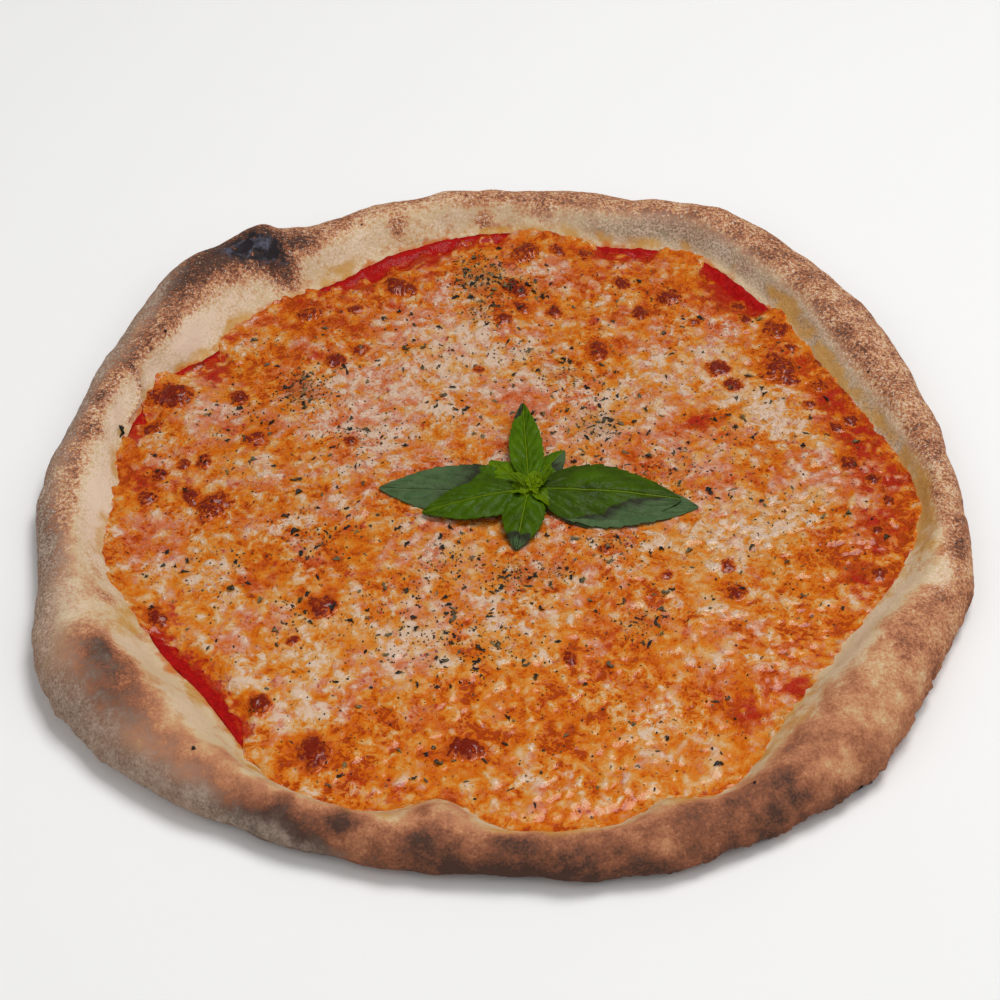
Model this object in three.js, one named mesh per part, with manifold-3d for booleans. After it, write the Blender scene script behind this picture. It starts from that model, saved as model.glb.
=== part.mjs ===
// A margherita pizza, 320 mm across: a dough base with a puffed, uneven rim, a layer of tomato sauce that
// shows in places along the rim, melted cheese with browned blisters and dried herbs, and a sprig of basil.
// Millimetres, +Z up. The origin is the middle of the flat underside. Angles are degrees from +X round to +Y.
import * as THREE from "three";
import { mergeVertices } from "three/addons/utils/BufferGeometryUtils.js";
import Module from "manifold-3d";

const wasm = await Module();
wasm.setup();

// ---------------------------------------------------------------- driving dimensions

const DIAMETER = 320; // across the rim, on average
const BASE_THICKNESS = 3; // dough under the toppings
const SAUCE_THICKNESS = 0.9;
const CHEESE_THICKNESS = 1.9;
const LAYER_GAP = 0.3; // between solids that lie on each other
const DEGREE = Math.PI / 180;
const UP = new THREE.Vector3(0, 0, 1);

const SAUCE_BOTTOM = BASE_THICKNESS + LAYER_GAP;
const SAUCE_TOP = SAUCE_BOTTOM + SAUCE_THICKNESS;
const CHEESE_BOTTOM = SAUCE_TOP + LAYER_GAP;
const CHEESE_TOP = CHEESE_BOTTOM + CHEESE_THICKNESS;

// The rim at 24 even stations from +X round: how far its outside strays from the mean circle, how wide it is
// from the outside in to the toppings, and how high its crest stands.
const OUTSIDE_SWAY = [-2, -2, 2, 7, 10, 4, 1, -1, -2, 8, 1, -3, 0, 1, 12, 10, 4, 1, 0, 5, 6, 8, 2, 3];
const RIM_WIDTH = [
  15, 24, 30, 28, 25, 26, 21, 23, 30, 39, 33, 20, 27, 23, 38, 37, 21, 18, 16, 20, 22, 37, 32, 25,
];
const RIM_HEIGHT = [
  15, 15, 16, 16, 16, 15, 15, 16, 18, 20, 18, 16, 17, 19, 21, 20, 18, 17, 17, 17, 17, 19, 19, 16,
];
const RIM_SEGMENTS = 144; // round the pizza
const WALL_STEPS = 3; // of each quarter of the outer wall, below and above the widest level
const SLOPE_STEPS = 5; // from the crest in to the toppings

const CREST_SHARE = 0.5; // of the rim's width, from the outside in to the crest
const BELLY_SHARE = 0.42; // of the rim's height, up to its widest level
const FOOT_TUCK = 10; // from the widest level in to where the underside leaves the table
const INNER_SLOPE = 1.5; // power of the inner slope: 1 is a full round, 2 an S
const TOE = 2.5; // how far the slope runs on under the toppings

// Lobes of dough that push in over the toppings, and one place where the rim draws back.
const LOBES = [
  { angle: 262, spread: 6, reach: 10, fullness: 0.7 },
  { angle: 290, spread: 4, reach: 4, fullness: 0.5 },
  { angle: 203, spread: 6, reach: 3, fullness: 0.4 },
  { angle: 154, spread: 5, reach: -6, fullness: 0.2 },
];
// Single bubbles in the rim, placed by the distance in from its outside.
const BUBBLES = [
  { angle: 127, inwards: 9, spread: 9, rise: 6 },
  { angle: 136, inwards: 12, spread: 11, rise: 2 },
  { angle: 216, inwards: 15, spread: 17, rise: 3 },
  { angle: 60, inwards: 9, spread: 12, rise: 2.5 },
  { angle: 98, inwards: 6, spread: 9, rise: 1.5 },
  { angle: 262, inwards: 17, spread: 9, rise: 2 },
  { angle: 320, inwards: 14, spread: 18, rise: 1.5 },
];
const PUFF_COUNT = 40; // small random puffs and dents between them
const PUFF_INWARDS = [3, 18];
const PUFF_SPREAD = [5.5, 11];
const PUFF_RISE = [-0.9, 1.1];

// Stretches where the sauce runs out past the cheese: the middle and half length in degrees, and the width.
const SAUCE_STRIPS = [
  { angle: 221, half: 11, width: 8 },
  { angle: 106, half: 15, width: 8 },
  { angle: 51, half: 6, width: 9 },
  { angle: 165, half: 3, width: 5 },
  { angle: 149, half: 4, width: 5 },
  { angle: 70, half: 5, width: 4 },
];
const SAUCE_SEGMENTS = 120;

const CHEESE_SEGMENTS = 96;
const CHEESE_RINGS = 14;
const RING_CROWDING = 0.8; // below 1 the rings stand closer towards the edge
const EDGE_THINNING = 0.7; // share of the thickness lost at the very edge
const EDGE_ROUND = 2; // distance in from the edge over which it comes back
// Waves in the top of the cheese: how long they are, and how far they rise and sink.
const WAVES = [
  { length: 34, height: 0.5 },
  { length: 17, height: 0.4 },
];
const BLISTER_RISE = 0.26; // height of a blister, as a share of its width
const BLISTER_ROOT = 0.6; // how deep it is set into the cheese
// The large browned blisters in the cheese: x, y and width.
const BLISTERS = [
  [-72, 92, 7], [-61, 67, 6], [-120, 49, 11], [-95, 48, 6], [-125, 33, 6], [-88, 26, 7], [-100, -6, 10],
  [-108, -1, 6], [-123, -2, 6], [-39, 108, 9], [8, 128, 9], [19, 94, 6], [5, 107, 8], [35, 73, 7],
  [51, 93, 6], [62, 101, 8], [78, 63, 7], [83, 54, 6], [101, 62, 11], [101, 84, 8], [114, 54, 6],
  [121, 14, 6], [-60, -52, 9], [-115, -57, 7], [-60, -114, 11], [-78, -94, 7], [-12, -112, 9],
  [78, -46, 6], [126, -38, 6], [22, -75, 5],
];

const FLAKE_COUNT = 105; // the largest flakes of dried herbs
const FLAKE_LENGTH = [3.4, 1.6]; // of the first and the last
const FLAKE_WIDTH_SHARE = 0.5;
const FLAKE_DEPTH = 0.5; // above and below the top of the cheese
const FLAKE_MARGIN = 6; // in from the thin edge of the cheese
// Where the herbs lie thickest: x, y, spread and weight.
const HERB_DRIFTS = [
  [-8, 105, 18, 1], [-62, 38, 22, 1], [12, 52, 24, 0.7], [-45, -45, 26, 0.9], [-10, -68, 28, 1],
  [34, -30, 20, 0.6], [40, -52, 18, 0.6], [30, 20, 22, 0.6],
];
const HERB_FLOOR = 0.1; // chance of a flake where no drift reaches

const SPRIG_PLACE = [9, -2]; // x and y of the sprig's middle
const SPRIG_CLEARANCE = 1.6; // from the mean top of the cheese up to the top of the lowest leaves
const LEAF_THICKNESS = 0.7;
const LEAF_STEPS = [8, 4]; // grid of a leaf, along and across
const LEAF_STALK = 0.8; // width of a leaf where it has no blade
const LEAF_RIPPLE = 0.35; // height of the ripples along a leaf's edges
const LEAF_RIPPLES = 2.5; // how many
const STEM_HEIGHT = 6;
const STEM_RADIUS = [1.3, 1.6]; // at its top and foot
// Leaves: the heading from the sprig's middle, the length and width, the height of the base, the middle and
// the tip above the lowest leaves, how far the edges droop, and how far the blade leans up to its left.
const LEAVES = [
  { heading: -3, length: 53, width: 27, heights: [4, 5.5, 3], droop: 2, lean: 1 },
  { heading: -7, length: 58, width: 25, heights: [2, 0.6, 0.3], droop: -0.5, lean: 0.4 },
  { heading: 176, length: 52, width: 22, heights: [3, 0.9, 0.2], droop: -0.5, lean: -1 },
  { heading: 197, length: 40, width: 16, heights: [4, 5, 2.4], droop: 1.2, lean: -1 },
  { heading: 95, length: 44, width: 13, heights: [4.5, 4, 3], droop: -0.5, lean: 0.5 },
  { heading: 258, length: 27, width: 14, heights: [4, 4, 0.2], droop: 1, lean: 0 },
  { heading: 60, length: 25, width: 10, heights: [3, 3, 0.5], droop: 0.4, lean: 0 },
  { heading: 133, length: 19, width: 11, heights: [3, 3, 1], droop: 0.6, lean: 0 },
];
const YOUNG_LEAF_COUNT = 6; // at the sprig's middle
const YOUNG_LEAF_STEPS = [3, 2];
const YOUNG_LEAF_LENGTH = [5.5, 9];
const YOUNG_LEAF_WIDTH = 3.6;
const YOUNG_LEAF_TIP = [-1.5, 3]; // above the stem's top

// ---------------------------------------------------------------- materials

const material = (color, roughness) => new THREE.MeshStandardMaterial({ color, roughness, metalness: 0 });
const BAKED_DOUGH = material(0xc99d6f, 0.8);
const TOMATO = material(0xb5170c, 0.35);
const CHEESE = material(0xdf9458, 0.4);
const BASIL = material(0x3b6b1e, 0.5);

// ---------------------------------------------------------------- helpers

// A seeded draw between 0 and 1.
function seeded(seed) {
  let state = seed;
  return () => {
    state = (state * 48271) % 2147483647;
    return state / 2147483647;
  };
}

const between = (low, high, share) => low + (high - low) * share;
const bell = (distance, spread) => Math.exp(-((distance / spread) ** 2));
const total = (list, value) => list.reduce((sum, item) => sum + value(item), 0);

// The smallest difference between two angles.
function apart(a, b) {
  return Math.abs(((((a - b) % 360) + 540) % 360) - 180);
}

// A smooth closed curve through even stations, read at an angle.
function around(stations, angle) {
  const count = stations.length;
  const at = (((angle % 360) + 360) % 360) * (count / 360);
  const k = Math.floor(at);
  const t = at - k;
  const [a, b, c, d] = [-1, 0, 1, 2].map((step) => stations[(k + step + count) % count]);
  return b + 0.5 * t * (c - a + t * (2 * a - 5 * b + 4 * c - d + t * (3 * (b - c) + d - a)));
}

// A body turned about Z whose section changes with the angle. sectionAt gives the section at an angle, as
// points of radius and height, from the axis below round to the axis above.
function turned(sectionAt, segments) {
  const first = sectionAt(0);
  const geometry = new THREE.LatheGeometry(first, segments);
  const position = geometry.attributes.position;
  for (let i = 0; i <= segments; i++) {
    const angle = (360 / segments) * (i % segments);
    const [cos, sin] = [Math.cos(angle * DEGREE), Math.sin(angle * DEGREE)];
    sectionAt(angle).forEach((p, j) => position.setXYZ(i * first.length + j, p.x * cos, p.x * sin, p.y));
  }
  return geometry;
}

// A closed mesh as a solid that can be joined to others, and back.
function solidOf(geometry) {
  const bare = geometry.clone();
  bare.deleteAttribute("normal");
  bare.deleteAttribute("uv");
  const merged = mergeVertices(bare);
  const triVerts = new Uint32Array(merged.index.array);
  const vertProperties = merged.attributes.position.array;
  return new wasm.Manifold(new wasm.Mesh({ numProp: 3, vertProperties, triVerts }));
}

function geometryOf(solid) {
  const mesh = solid.getMesh();
  const geometry = new THREE.BufferGeometry();
  geometry.setAttribute("position", new THREE.BufferAttribute(mesh.vertProperties, 3));
  geometry.setIndex(new THREE.BufferAttribute(mesh.triVerts, 1));
  geometry.computeVertexNormals();
  return geometry;
}

const joined = (geometries) => geometryOf(geometries.map(solidOf).reduce((sum, solid) => sum.add(solid)));

function part(name, geometry, finish) {
  const mesh = new THREE.Mesh(geometry, finish);
  mesh.name = name;
  return mesh;
}

// ---------------------------------------------------------------- dough

const outsideAt = (angle) => DIAMETER / 2 + around(OUTSIDE_SWAY, angle);
const lobesAt = (angle, key) => total(LOBES, (l) => l[key] * bell(apart(angle, l.angle), l.spread));
// Where the rim meets the toppings.
const edgeAt = (angle) => outsideAt(angle) - around(RIM_WIDTH, angle) - lobesAt(angle, "reach");

function randomPuffs() {
  const draw = seeded(7);
  return Array.from({ length: PUFF_COUNT }, (_, k) => ({
    angle: (360 / PUFF_COUNT) * (k + draw()),
    inwards: between(...PUFF_INWARDS, draw()),
    spread: between(...PUFF_SPREAD, draw()),
    rise: between(...PUFF_RISE, draw()),
  }));
}

const bubbles = [...BUBBLES, ...randomPuffs()];

// How far the bubbles lift the crust at a place in the rim.
function bubbleLift(angle, radius) {
  const outside = outsideAt(angle);
  return total(bubbles, (bubble) => {
    const aside = apart(angle, bubble.angle) * DEGREE * outside;
    const inwards = outside - radius - bubble.inwards;
    return bubble.rise * bell(Math.hypot(aside, inwards), bubble.spread);
  });
}

// The rim's section at an angle: the tucked foot, the outer wall, the crest and the slope in to the toppings.
function rimSection(angle) {
  const outside = outsideAt(angle);
  const height = around(RIM_HEIGHT, angle);
  const edge = edgeAt(angle);
  const crest = outside - CREST_SHARE * around(RIM_WIDTH, angle);
  const belly = BELLY_SHARE * height;
  const power = INNER_SLOPE - lobesAt(angle, "fullness");
  const below = [];
  const above = [];
  for (let k = 0; k < WALL_STEPS; k++) {
    const [cos, sin] = [Math.cos((k / WALL_STEPS) * 90 * DEGREE), Math.sin((k / WALL_STEPS) * 90 * DEGREE)];
    below.push(new THREE.Vector2(outside - FOOT_TUCK * (1 - sin), belly * (1 - cos)));
    above.push(new THREE.Vector2(between(crest, outside, cos), between(belly, height, sin)));
  }
  const slope = [];
  for (let k = 0; k <= SLOPE_STEPS; k++) {
    const share = k / SLOPE_STEPS;
    const fall = Math.cos(share * 90 * DEGREE) ** power;
    slope.push(new THREE.Vector2(between(crest, edge, share), between(CHEESE_TOP, height, fall)));
  }
  const points = [...below, ...above, ...slope];
  points.forEach((p) => {
    p.y += bubbleLift(angle, p.x) * THREE.MathUtils.smoothstep(p.y, CHEESE_TOP, height);
  });
  return points;
}

function doughSection(angle) {
  return [
    new THREE.Vector2(0, 0),
    ...rimSection(angle),
    new THREE.Vector2(edgeAt(angle) - TOE, BASE_THICKNESS),
    new THREE.Vector2(0, BASE_THICKNESS),
  ];
}

// ---------------------------------------------------------------- sauce and cheese

// How far out the hollow in the dough reaches at a height, less the gap.
function hollowAt(angle, height) {
  const rise = (height - BASE_THICKNESS) / (CHEESE_TOP - BASE_THICKNESS);
  return edgeAt(angle) - TOE * (1 - rise) - 2 * LAYER_GAP;
}

function sauceSection(angle) {
  return [
    new THREE.Vector2(0, SAUCE_BOTTOM),
    new THREE.Vector2(hollowAt(angle, SAUCE_BOTTOM), SAUCE_BOTTOM),
    new THREE.Vector2(hollowAt(angle, SAUCE_TOP), SAUCE_TOP),
    new THREE.Vector2(0, SAUCE_TOP),
  ];
}

// A strip keeps its width over most of its length and then closes quickly.
const stripAt = (angle) =>
  total(SAUCE_STRIPS, (strip) => strip.width * Math.exp(-((apart(angle, strip.angle) / strip.half) ** 4)));
const cheeseEdgeAt = (angle) => hollowAt(angle, CHEESE_BOTTOM) - stripAt(angle);

// A fixed wild value between -1 and 1 for each point of a unit grid.
function gridValue(i, j) {
  const wild = Math.sin(i * 127.1 + j * 311.7) * 43758.5453;
  return 2 * (wild - Math.floor(wild)) - 1;
}

// Smooth hills and hollows that pass through those values.
function hillsAt(x, y) {
  const [i, j] = [Math.floor(x), Math.floor(y)];
  const [u, v] = [x - i, y - j].map((t) => t * t * t * (t * (6 * t - 15) + 10));
  const near = between(gridValue(i, j), gridValue(i + 1, j), u);
  const far = between(gridValue(i, j + 1), gridValue(i + 1, j + 1), u);
  return between(near, far, v);
}

const wavesAt = (x, y) => total(WAVES, (w) => w.height * hillsAt(x / w.length, y / w.length));

// The top of the cheese at a place. It thins towards its edge.
function cheeseTopAt(x, y) {
  const fromEdge = cheeseEdgeAt(Math.atan2(y, x) / DEGREE) - Math.hypot(x, y);
  const thinned = 1 - EDGE_THINNING * Math.exp(-Math.max(fromEdge, 0) / EDGE_ROUND);
  return CHEESE_BOTTOM + (CHEESE_THICKNESS + wavesAt(x, y)) * thinned;
}

function cheeseSection(angle) {
  const edge = cheeseEdgeAt(angle);
  const points = [new THREE.Vector2(0, CHEESE_BOTTOM), new THREE.Vector2(edge, CHEESE_BOTTOM)];
  for (let ring = CHEESE_RINGS; ring >= 0; ring--) {
    const radius = (edge - LAYER_GAP) * (ring / CHEESE_RINGS) ** RING_CROWDING;
    const [x, y] = [radius * Math.cos(angle * DEGREE), radius * Math.sin(angle * DEGREE)];
    points.push(new THREE.Vector2(radius, cheeseTopAt(x, y)));
  }
  return points;
}

// A dome that stands out of the cheese, with a flat underside a little way down in it.
function blister([x, y, width]) {
  const dome = new THREE.SphereGeometry(1, 8, 4).rotateX(Math.PI / 2);
  dome.scale(width / 2, width / 2, width * BLISTER_RISE);
  const position = dome.attributes.position;
  for (let i = 0; i < position.count; i++) {
    position.setZ(i, Math.max(position.getZ(i), -BLISTER_ROOT));
  }
  return dome.translate(x, y, cheeseTopAt(x, y));
}

// ---------------------------------------------------------------- basil

// A leaf's width at a share of its length from the base, as a share of its full width.
const leafShape = (share) => Math.sin(Math.PI * share ** 0.8) ** 0.85;

// A point of a leaf's upper face in the sprig's own frame, along from 0 to 1 and across from -1 to 1.
function leafPoint(leaf, along, across) {
  const [base, middle, tip] = leaf.heights;
  const shape = leafShape(along);
  const ahead = leaf.length * along;
  const aside = ((LEAF_STALK + leaf.width * shape) / 2) * across;
  const control = 2 * middle - (base + tip) / 2;
  const arch = (1 - along) ** 2 * base + 2 * along * (1 - along) * control + along ** 2 * tip;
  const ripple = LEAF_RIPPLE * Math.sin(along * LEAF_RIPPLES * 360 * DEGREE) * across;
  const up = arch + shape * (ripple + leaf.lean * across - leaf.droop * Math.abs(across) ** 1.5);
  return new THREE.Vector3(ahead, aside, Math.max(up, 0)).applyAxisAngle(UP, leaf.heading * DEGREE);
}

// A thin wavy body: one grid of points for the upper face, and the same grid, lowered, for the lower one.
function leafGeometry(leaf, [along, across]) {
  const sheet = new THREE.PlaneGeometry(1, 1, along, across);
  const grid = sheet.attributes.position;
  const count = grid.count;
  const place = (_, i) => leafPoint(leaf, grid.getX(i) + 0.5, grid.getY(i) * 2);
  const upper = Array.from({ length: count }, place);
  const lower = upper.map((p) => new THREE.Vector3(p.x, p.y, p.z - LEAF_THICKNESS));
  const index = [...sheet.index.array];
  for (let k = 0; k < sheet.index.count; k += 3) {
    const [a, b, c] = index.slice(k, k + 3);
    index.push(a + count, c + count, b + count);
  }
  const row = along + 1;
  const border = [];
  for (let i = 0; i < along; i++) {
    border.push([i + 1, i], [across * row + i, across * row + i + 1]);
  }
  for (let j = 0; j < across; j++) {
    border.push([j * row, (j + 1) * row], [(j + 2) * row - 1, (j + 1) * row - 1]);
  }
  border.forEach(([a, b]) => index.push(a, a + count, b, b, a + count, b + count));
  return new THREE.BufferGeometry().setFromPoints([...upper, ...lower]).setIndex(index);
}

function youngLeaves() {
  const draw = seeded(11);
  return Array.from({ length: YOUNG_LEAF_COUNT }, (_, k) => ({
    heading: (360 / YOUNG_LEAF_COUNT) * (k + 0.6 * draw()),
    length: between(...YOUNG_LEAF_LENGTH, draw()),
    width: YOUNG_LEAF_WIDTH,
    heights: [STEM_HEIGHT - 1.5, STEM_HEIGHT, STEM_HEIGHT + between(...YOUNG_LEAF_TIP, draw())],
    droop: 0,
    lean: 0,
  }));
}

function basilSprig() {
  const height = STEM_HEIGHT + LEAF_THICKNESS;
  const stem = new THREE.CylinderGeometry(...STEM_RADIUS, height, 8).rotateX(Math.PI / 2);
  stem.translate(0, 0, height / 2 - LEAF_THICKNESS);
  const leaves = LEAVES.map((leaf) => leafGeometry(leaf, LEAF_STEPS));
  const young = youngLeaves().map((leaf) => leafGeometry(leaf, YOUNG_LEAF_STEPS));
  return joined([stem, ...leaves, ...young]);
}

// Whether a place lies under a leaf, or nearer to one than the margin.
function underSprig(x, y, margin) {
  const [dx, dy] = [x - SPRIG_PLACE[0], y - SPRIG_PLACE[1]];
  return LEAVES.some((leaf) => {
    const turn = leaf.heading * DEGREE;
    const ahead = dx * Math.cos(turn) + dy * Math.sin(turn);
    const aside = Math.abs(dy * Math.cos(turn) - dx * Math.sin(turn));
    const along = THREE.MathUtils.clamp(ahead / leaf.length, 0, 1);
    const beyond = Math.abs(ahead - along * leaf.length);
    return beyond < margin && aside < (leaf.width / 2) * leafShape(along) + margin;
  });
}

// ---------------------------------------------------------------- herbs

function herbChance(x, y) {
  const drift = ([cx, cy, spread, weight]) => weight * bell(Math.hypot(x - cx, y - cy), spread);
  return HERB_FLOOR + total(HERB_DRIFTS, drift);
}

function herbFlakes() {
  const draw = seeded(23);
  const flakes = [];
  while (flakes.length < FLAKE_COUNT) {
    const radius = (DIAMETER / 2) * Math.sqrt(draw());
    const angle = 360 * draw();
    const [x, y] = [radius * Math.cos(angle * DEGREE), radius * Math.sin(angle * DEGREE)];
    const wanted = draw() < herbChance(x, y);
    const turn = 360 * DEGREE * draw();
    const length = between(...FLAKE_LENGTH, flakes.length / FLAKE_COUNT);
    const clear = radius < cheeseEdgeAt(angle) - FLAKE_MARGIN && !underSprig(x, y, length);
    if (wanted && clear) flakes.push({ x, y, turn, length });
  }
  return flakes;
}

function flake({ x, y, turn, length }) {
  const chip = new THREE.OctahedronGeometry(1);
  chip.scale(length / 2, (length * FLAKE_WIDTH_SHARE) / 2, FLAKE_DEPTH).rotateZ(turn);
  return chip.translate(x, y, cheeseTopAt(x, y));
}

// ---------------------------------------------------------------- the pizza

const pizza = new THREE.Group();
pizza.add(part("dough", turned(doughSection, RIM_SEGMENTS), BAKED_DOUGH));

const toppings = new THREE.Group();
toppings.add(part("tomato_sauce", turned(sauceSection, SAUCE_SEGMENTS), TOMATO));
const cheese = [turned(cheeseSection, CHEESE_SEGMENTS), ...BLISTERS.map(blister), ...herbFlakes().map(flake)];
toppings.add(part("melted_cheese", joined(cheese), CHEESE));
const sprig = part("basil_sprig", basilSprig(), BASIL);
sprig.position.set(...SPRIG_PLACE, CHEESE_TOP + SPRIG_CLEARANCE);
toppings.add(sprig);
pizza.add(toppings);

// The uneven rim is centred on the origin by its box.
const middle = new THREE.Box3().setFromObject(pizza).getCenter(new THREE.Vector3());
pizza.position.set(-middle.x, -middle.y, 0);

export default pizza;
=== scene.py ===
"""A margherita pizza dressed round its fixed frame: crust, sauce, cheese, herbs, crumbs and a basil sprig.

Laid out as an add-on. Sizes in the code are millimetres, angles are degrees from +X round to +Y, and every
piece is turned into metres in the frame's own axes when its mesh is made.
"""

import functools
import math
from typing import NamedTuple

import bpy
import numpy as np
from bpy.props import FloatProperty, FloatVectorProperty, IntProperty, PointerProperty
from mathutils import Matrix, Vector


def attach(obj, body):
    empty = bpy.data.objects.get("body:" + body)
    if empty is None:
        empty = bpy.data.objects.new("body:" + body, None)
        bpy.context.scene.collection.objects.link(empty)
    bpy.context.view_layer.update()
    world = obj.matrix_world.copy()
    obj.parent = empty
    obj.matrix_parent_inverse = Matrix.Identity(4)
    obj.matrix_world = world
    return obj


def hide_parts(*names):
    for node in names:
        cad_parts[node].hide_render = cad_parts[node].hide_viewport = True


bl_info = {
    "name": "Margherita Pizza",
    "version": (1, 0, 0),
    "blender": (4, 5, 0),
    "location": "View3D > Sidebar > Pizza",
    "description": "Makes a baked pizza with its sauce, cheese, herbs, basil and crumbs round its frame",
    "category": "Add Mesh",
}

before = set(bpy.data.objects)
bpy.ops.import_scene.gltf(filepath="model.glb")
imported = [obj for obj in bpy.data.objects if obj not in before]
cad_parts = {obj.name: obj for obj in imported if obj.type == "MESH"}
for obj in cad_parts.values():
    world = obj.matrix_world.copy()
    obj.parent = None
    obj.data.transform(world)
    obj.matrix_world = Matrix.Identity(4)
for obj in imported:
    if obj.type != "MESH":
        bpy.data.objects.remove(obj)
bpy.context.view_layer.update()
MM = 0.001

# ---------------------------------------------------------------- the form that the frame was made to

BASE_TOP = 3.0
SAUCE_THICKNESS = 0.9
CHEESE_THICKNESS = 1.9
LAYER_GAP = 0.3
SAUCE_BOTTOM = BASE_TOP + LAYER_GAP
SAUCE_TOP = SAUCE_BOTTOM + SAUCE_THICKNESS
CHEESE_BOTTOM = SAUCE_TOP + LAYER_GAP
CHEESE_TOP = CHEESE_BOTTOM + CHEESE_THICKNESS

# The rim at 24 even stations from +X round: how far its outside strays from the mean circle, how wide it is
# from the outside in to the toppings, and how high its crest stands.
OUTSIDE_SWAY = (-2, -2, 2, 7, 10, 4, 1, -1, -2, 8, 1, -3, 0, 1, 12, 10, 4, 1, 0, 5, 6, 8, 2, 3)
RIM_WIDTH = (15, 24, 30, 28, 25, 26, 21, 23, 30, 39, 33, 20, 27, 23, 38, 37, 21, 18, 16, 20, 22, 37, 32, 25)
RIM_HEIGHT = (
    15, 15, 16, 16, 16, 15, 15, 16, 18, 20, 18, 16, 17, 19, 21, 20, 18, 17, 17, 17, 17, 19, 19, 16,
)
RIM_STATIONS = 144  # round the solid, which centres it on the origin
CREST_SHARE = 0.5
BELLY_SHARE = 0.42
FOOT_TUCK = 10
INNER_SLOPE = 1.5
TOE = 2.5

# Lobes of dough over the toppings: angle, spread, reach and fullness.
LOBES = ((262, 6, 10, 0.7), (290, 4, 4, 0.5), (203, 6, 3, 0.4), (154, 5, -6, 0.2))
# Single bubbles in the rim: angle, distance in from its outside, spread and rise.
BUBBLES = (
    (127, 9, 9, 6), (136, 12, 11, 2), (216, 15, 17, 3), (60, 9, 12, 2.5),
    (98, 6, 9, 1.5), (262, 17, 9, 2), (320, 14, 18, 1.5),
)
PUFF_COUNT = 40
PUFF_INWARDS = (3, 18)
PUFF_SPREAD = (5.5, 11)
PUFF_RISE = (-0.9, 1.1)

# Stretches where the sauce runs out past the cheese: middle, half length in degrees, and width.
SAUCE_STRIPS = ((221, 11, 8), (106, 15, 8), (51, 6, 9), (165, 3, 5), (149, 4, 5), (70, 5, 4))
EDGE_THINNING = 0.7
EDGE_ROUND = 2
WAVES = ((34, 0.5), (17, 0.4))  # length and height
BLISTER_RISE = 0.26
# Browned blisters in the cheese: x, y and width. The frame has the larger ones.
BLISTERS = (
    (-72, 92, 7), (-61, 67, 6), (-120, 49, 11), (-95, 48, 6), (-125, 33, 6), (-88, 26, 7),
    (-100, -6, 10), (-108, -1, 6), (-123, -2, 6), (-39, 108, 9), (8, 128, 9), (19, 94, 6), (5, 107, 8),
    (35, 73, 7), (51, 93, 6), (62, 101, 8), (78, 63, 7), (83, 54, 6), (101, 62, 11), (101, 84, 8),
    (114, 54, 6), (121, 14, 6), (-60, -52, 9), (-115, -57, 7), (-60, -114, 11), (-78, -94, 7),
    (-12, -112, 9), (78, -46, 6), (126, -38, 6), (22, -75, 5),
)
SMALL_BLISTERS = (
    (-52, 73, 5), (-132, 43, 4), (-105, 15, 5), (-120, 9, 5.5), (-54, 25, 4.5), (-9, 63, 3.5),
    (-55, 95, 4.5), (21, 129, 5), (31, 127, 5), (71, 88, 4), (119, 32, 5), (-69, -67, 3.5),
    (55, -38, 3.5), (76, -34, 4.5), (0, 90, 6), (7, 96, 5), (45, 110, 5), (90, 90, 4), (-112, 14, 4),
    (-122, 52, 5), (-117, 45, 5), (104, 57, 6), (98, 68, 5), (128, -18, 4), (35, -26, 4), (106, 74, 4),
    (124, 36, 5), (129, 6, 4.5), (116, 66, 4.5), (110, 44, 4), (133, -4, 4), (-112, 66, 5), (88, 99, 5),
)

FLAKE_COUNT = 105
FLAKE_LENGTH = (3.4, 1.6)
FLAKE_MARGIN = 6
# Where the herbs lie thickest: x, y, spread and weight.
HERB_DRIFTS = (
    (-8, 105, 18, 1), (-62, 38, 22, 1), (12, 52, 24, 0.7), (-45, -45, 26, 0.9),
    (-10, -68, 28, 1), (34, -30, 20, 0.6), (40, -52, 18, 0.6), (30, 20, 22, 0.6),
)
HERB_FLOOR = 0.1
# Where the finer herbs lie, in the same way.
HERB_CLUSTERS = (
    (-8, 113, 10, 2.6), (-72, 51, 8, 1.8), (-8, 94, 6, 1.0), (10, 107, 7, 0.8), (20, 60, 7, 0.9),
    (3, 72, 6, 0.6), (33, 33, 9, 1.3), (34, 56, 7, 0.5), (-35, 73, 5, 0.4), (5, -38, 8, 1.0),
    (19, -37, 6, 0.8), (46, -60, 8, 0.7), (-30, -60, 17, 0.35), (-8, -72, 14, 0.4), (-65, -22, 9, 0.5),
    (-50, 25, 11, 0.5), (-90, 38, 9, 0.4), (60, 12, 11, 0.5), (36, -24, 9, 0.8), (80, 28, 8, 0.4),
    (-105, -35, 11, 0.25), (95, -5, 13, 0.15), (-20, -30, 11, 0.5), (-70, -55, 8, 0.4),
    (-20, 75, 8, 0.3), (75, 0, 8, 0.2),
)
HERB_CLUSTER_FLOOR = 0.07

SPRIG_PLACE = (9, -2)
SPRIG_LEVEL = CHEESE_TOP + 0.8
LEAF_THICKNESS = 0.7
LEAF_STALK = 0.8
LEAF_RIPPLE = 0.35
LEAF_RIPPLES = 2.5
STEM_HEIGHT = 6
STEM_RADIUS = (1.3, 1.6)
NEVER = (2, 2, 2, 2)


class Leaf(NamedTuple):
    heading: float
    length: float
    width: float
    heights: tuple  # of its base, middle and tip
    droop: float = 0  # of its edges
    lean: float = 0  # up to its left
    fresh: float = 0.5  # from dark to yellowish green
    pucker: float = 0.5  # height of the blisters between its veins
    veins: int = 5  # on each side
    sweep: float = 0.5  # how far along the leaf a side vein runs on from midrib to edge
    wilt: tuple = NEVER  # where it wilts: left edge, left of the midrib, right of it, right edge


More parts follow.
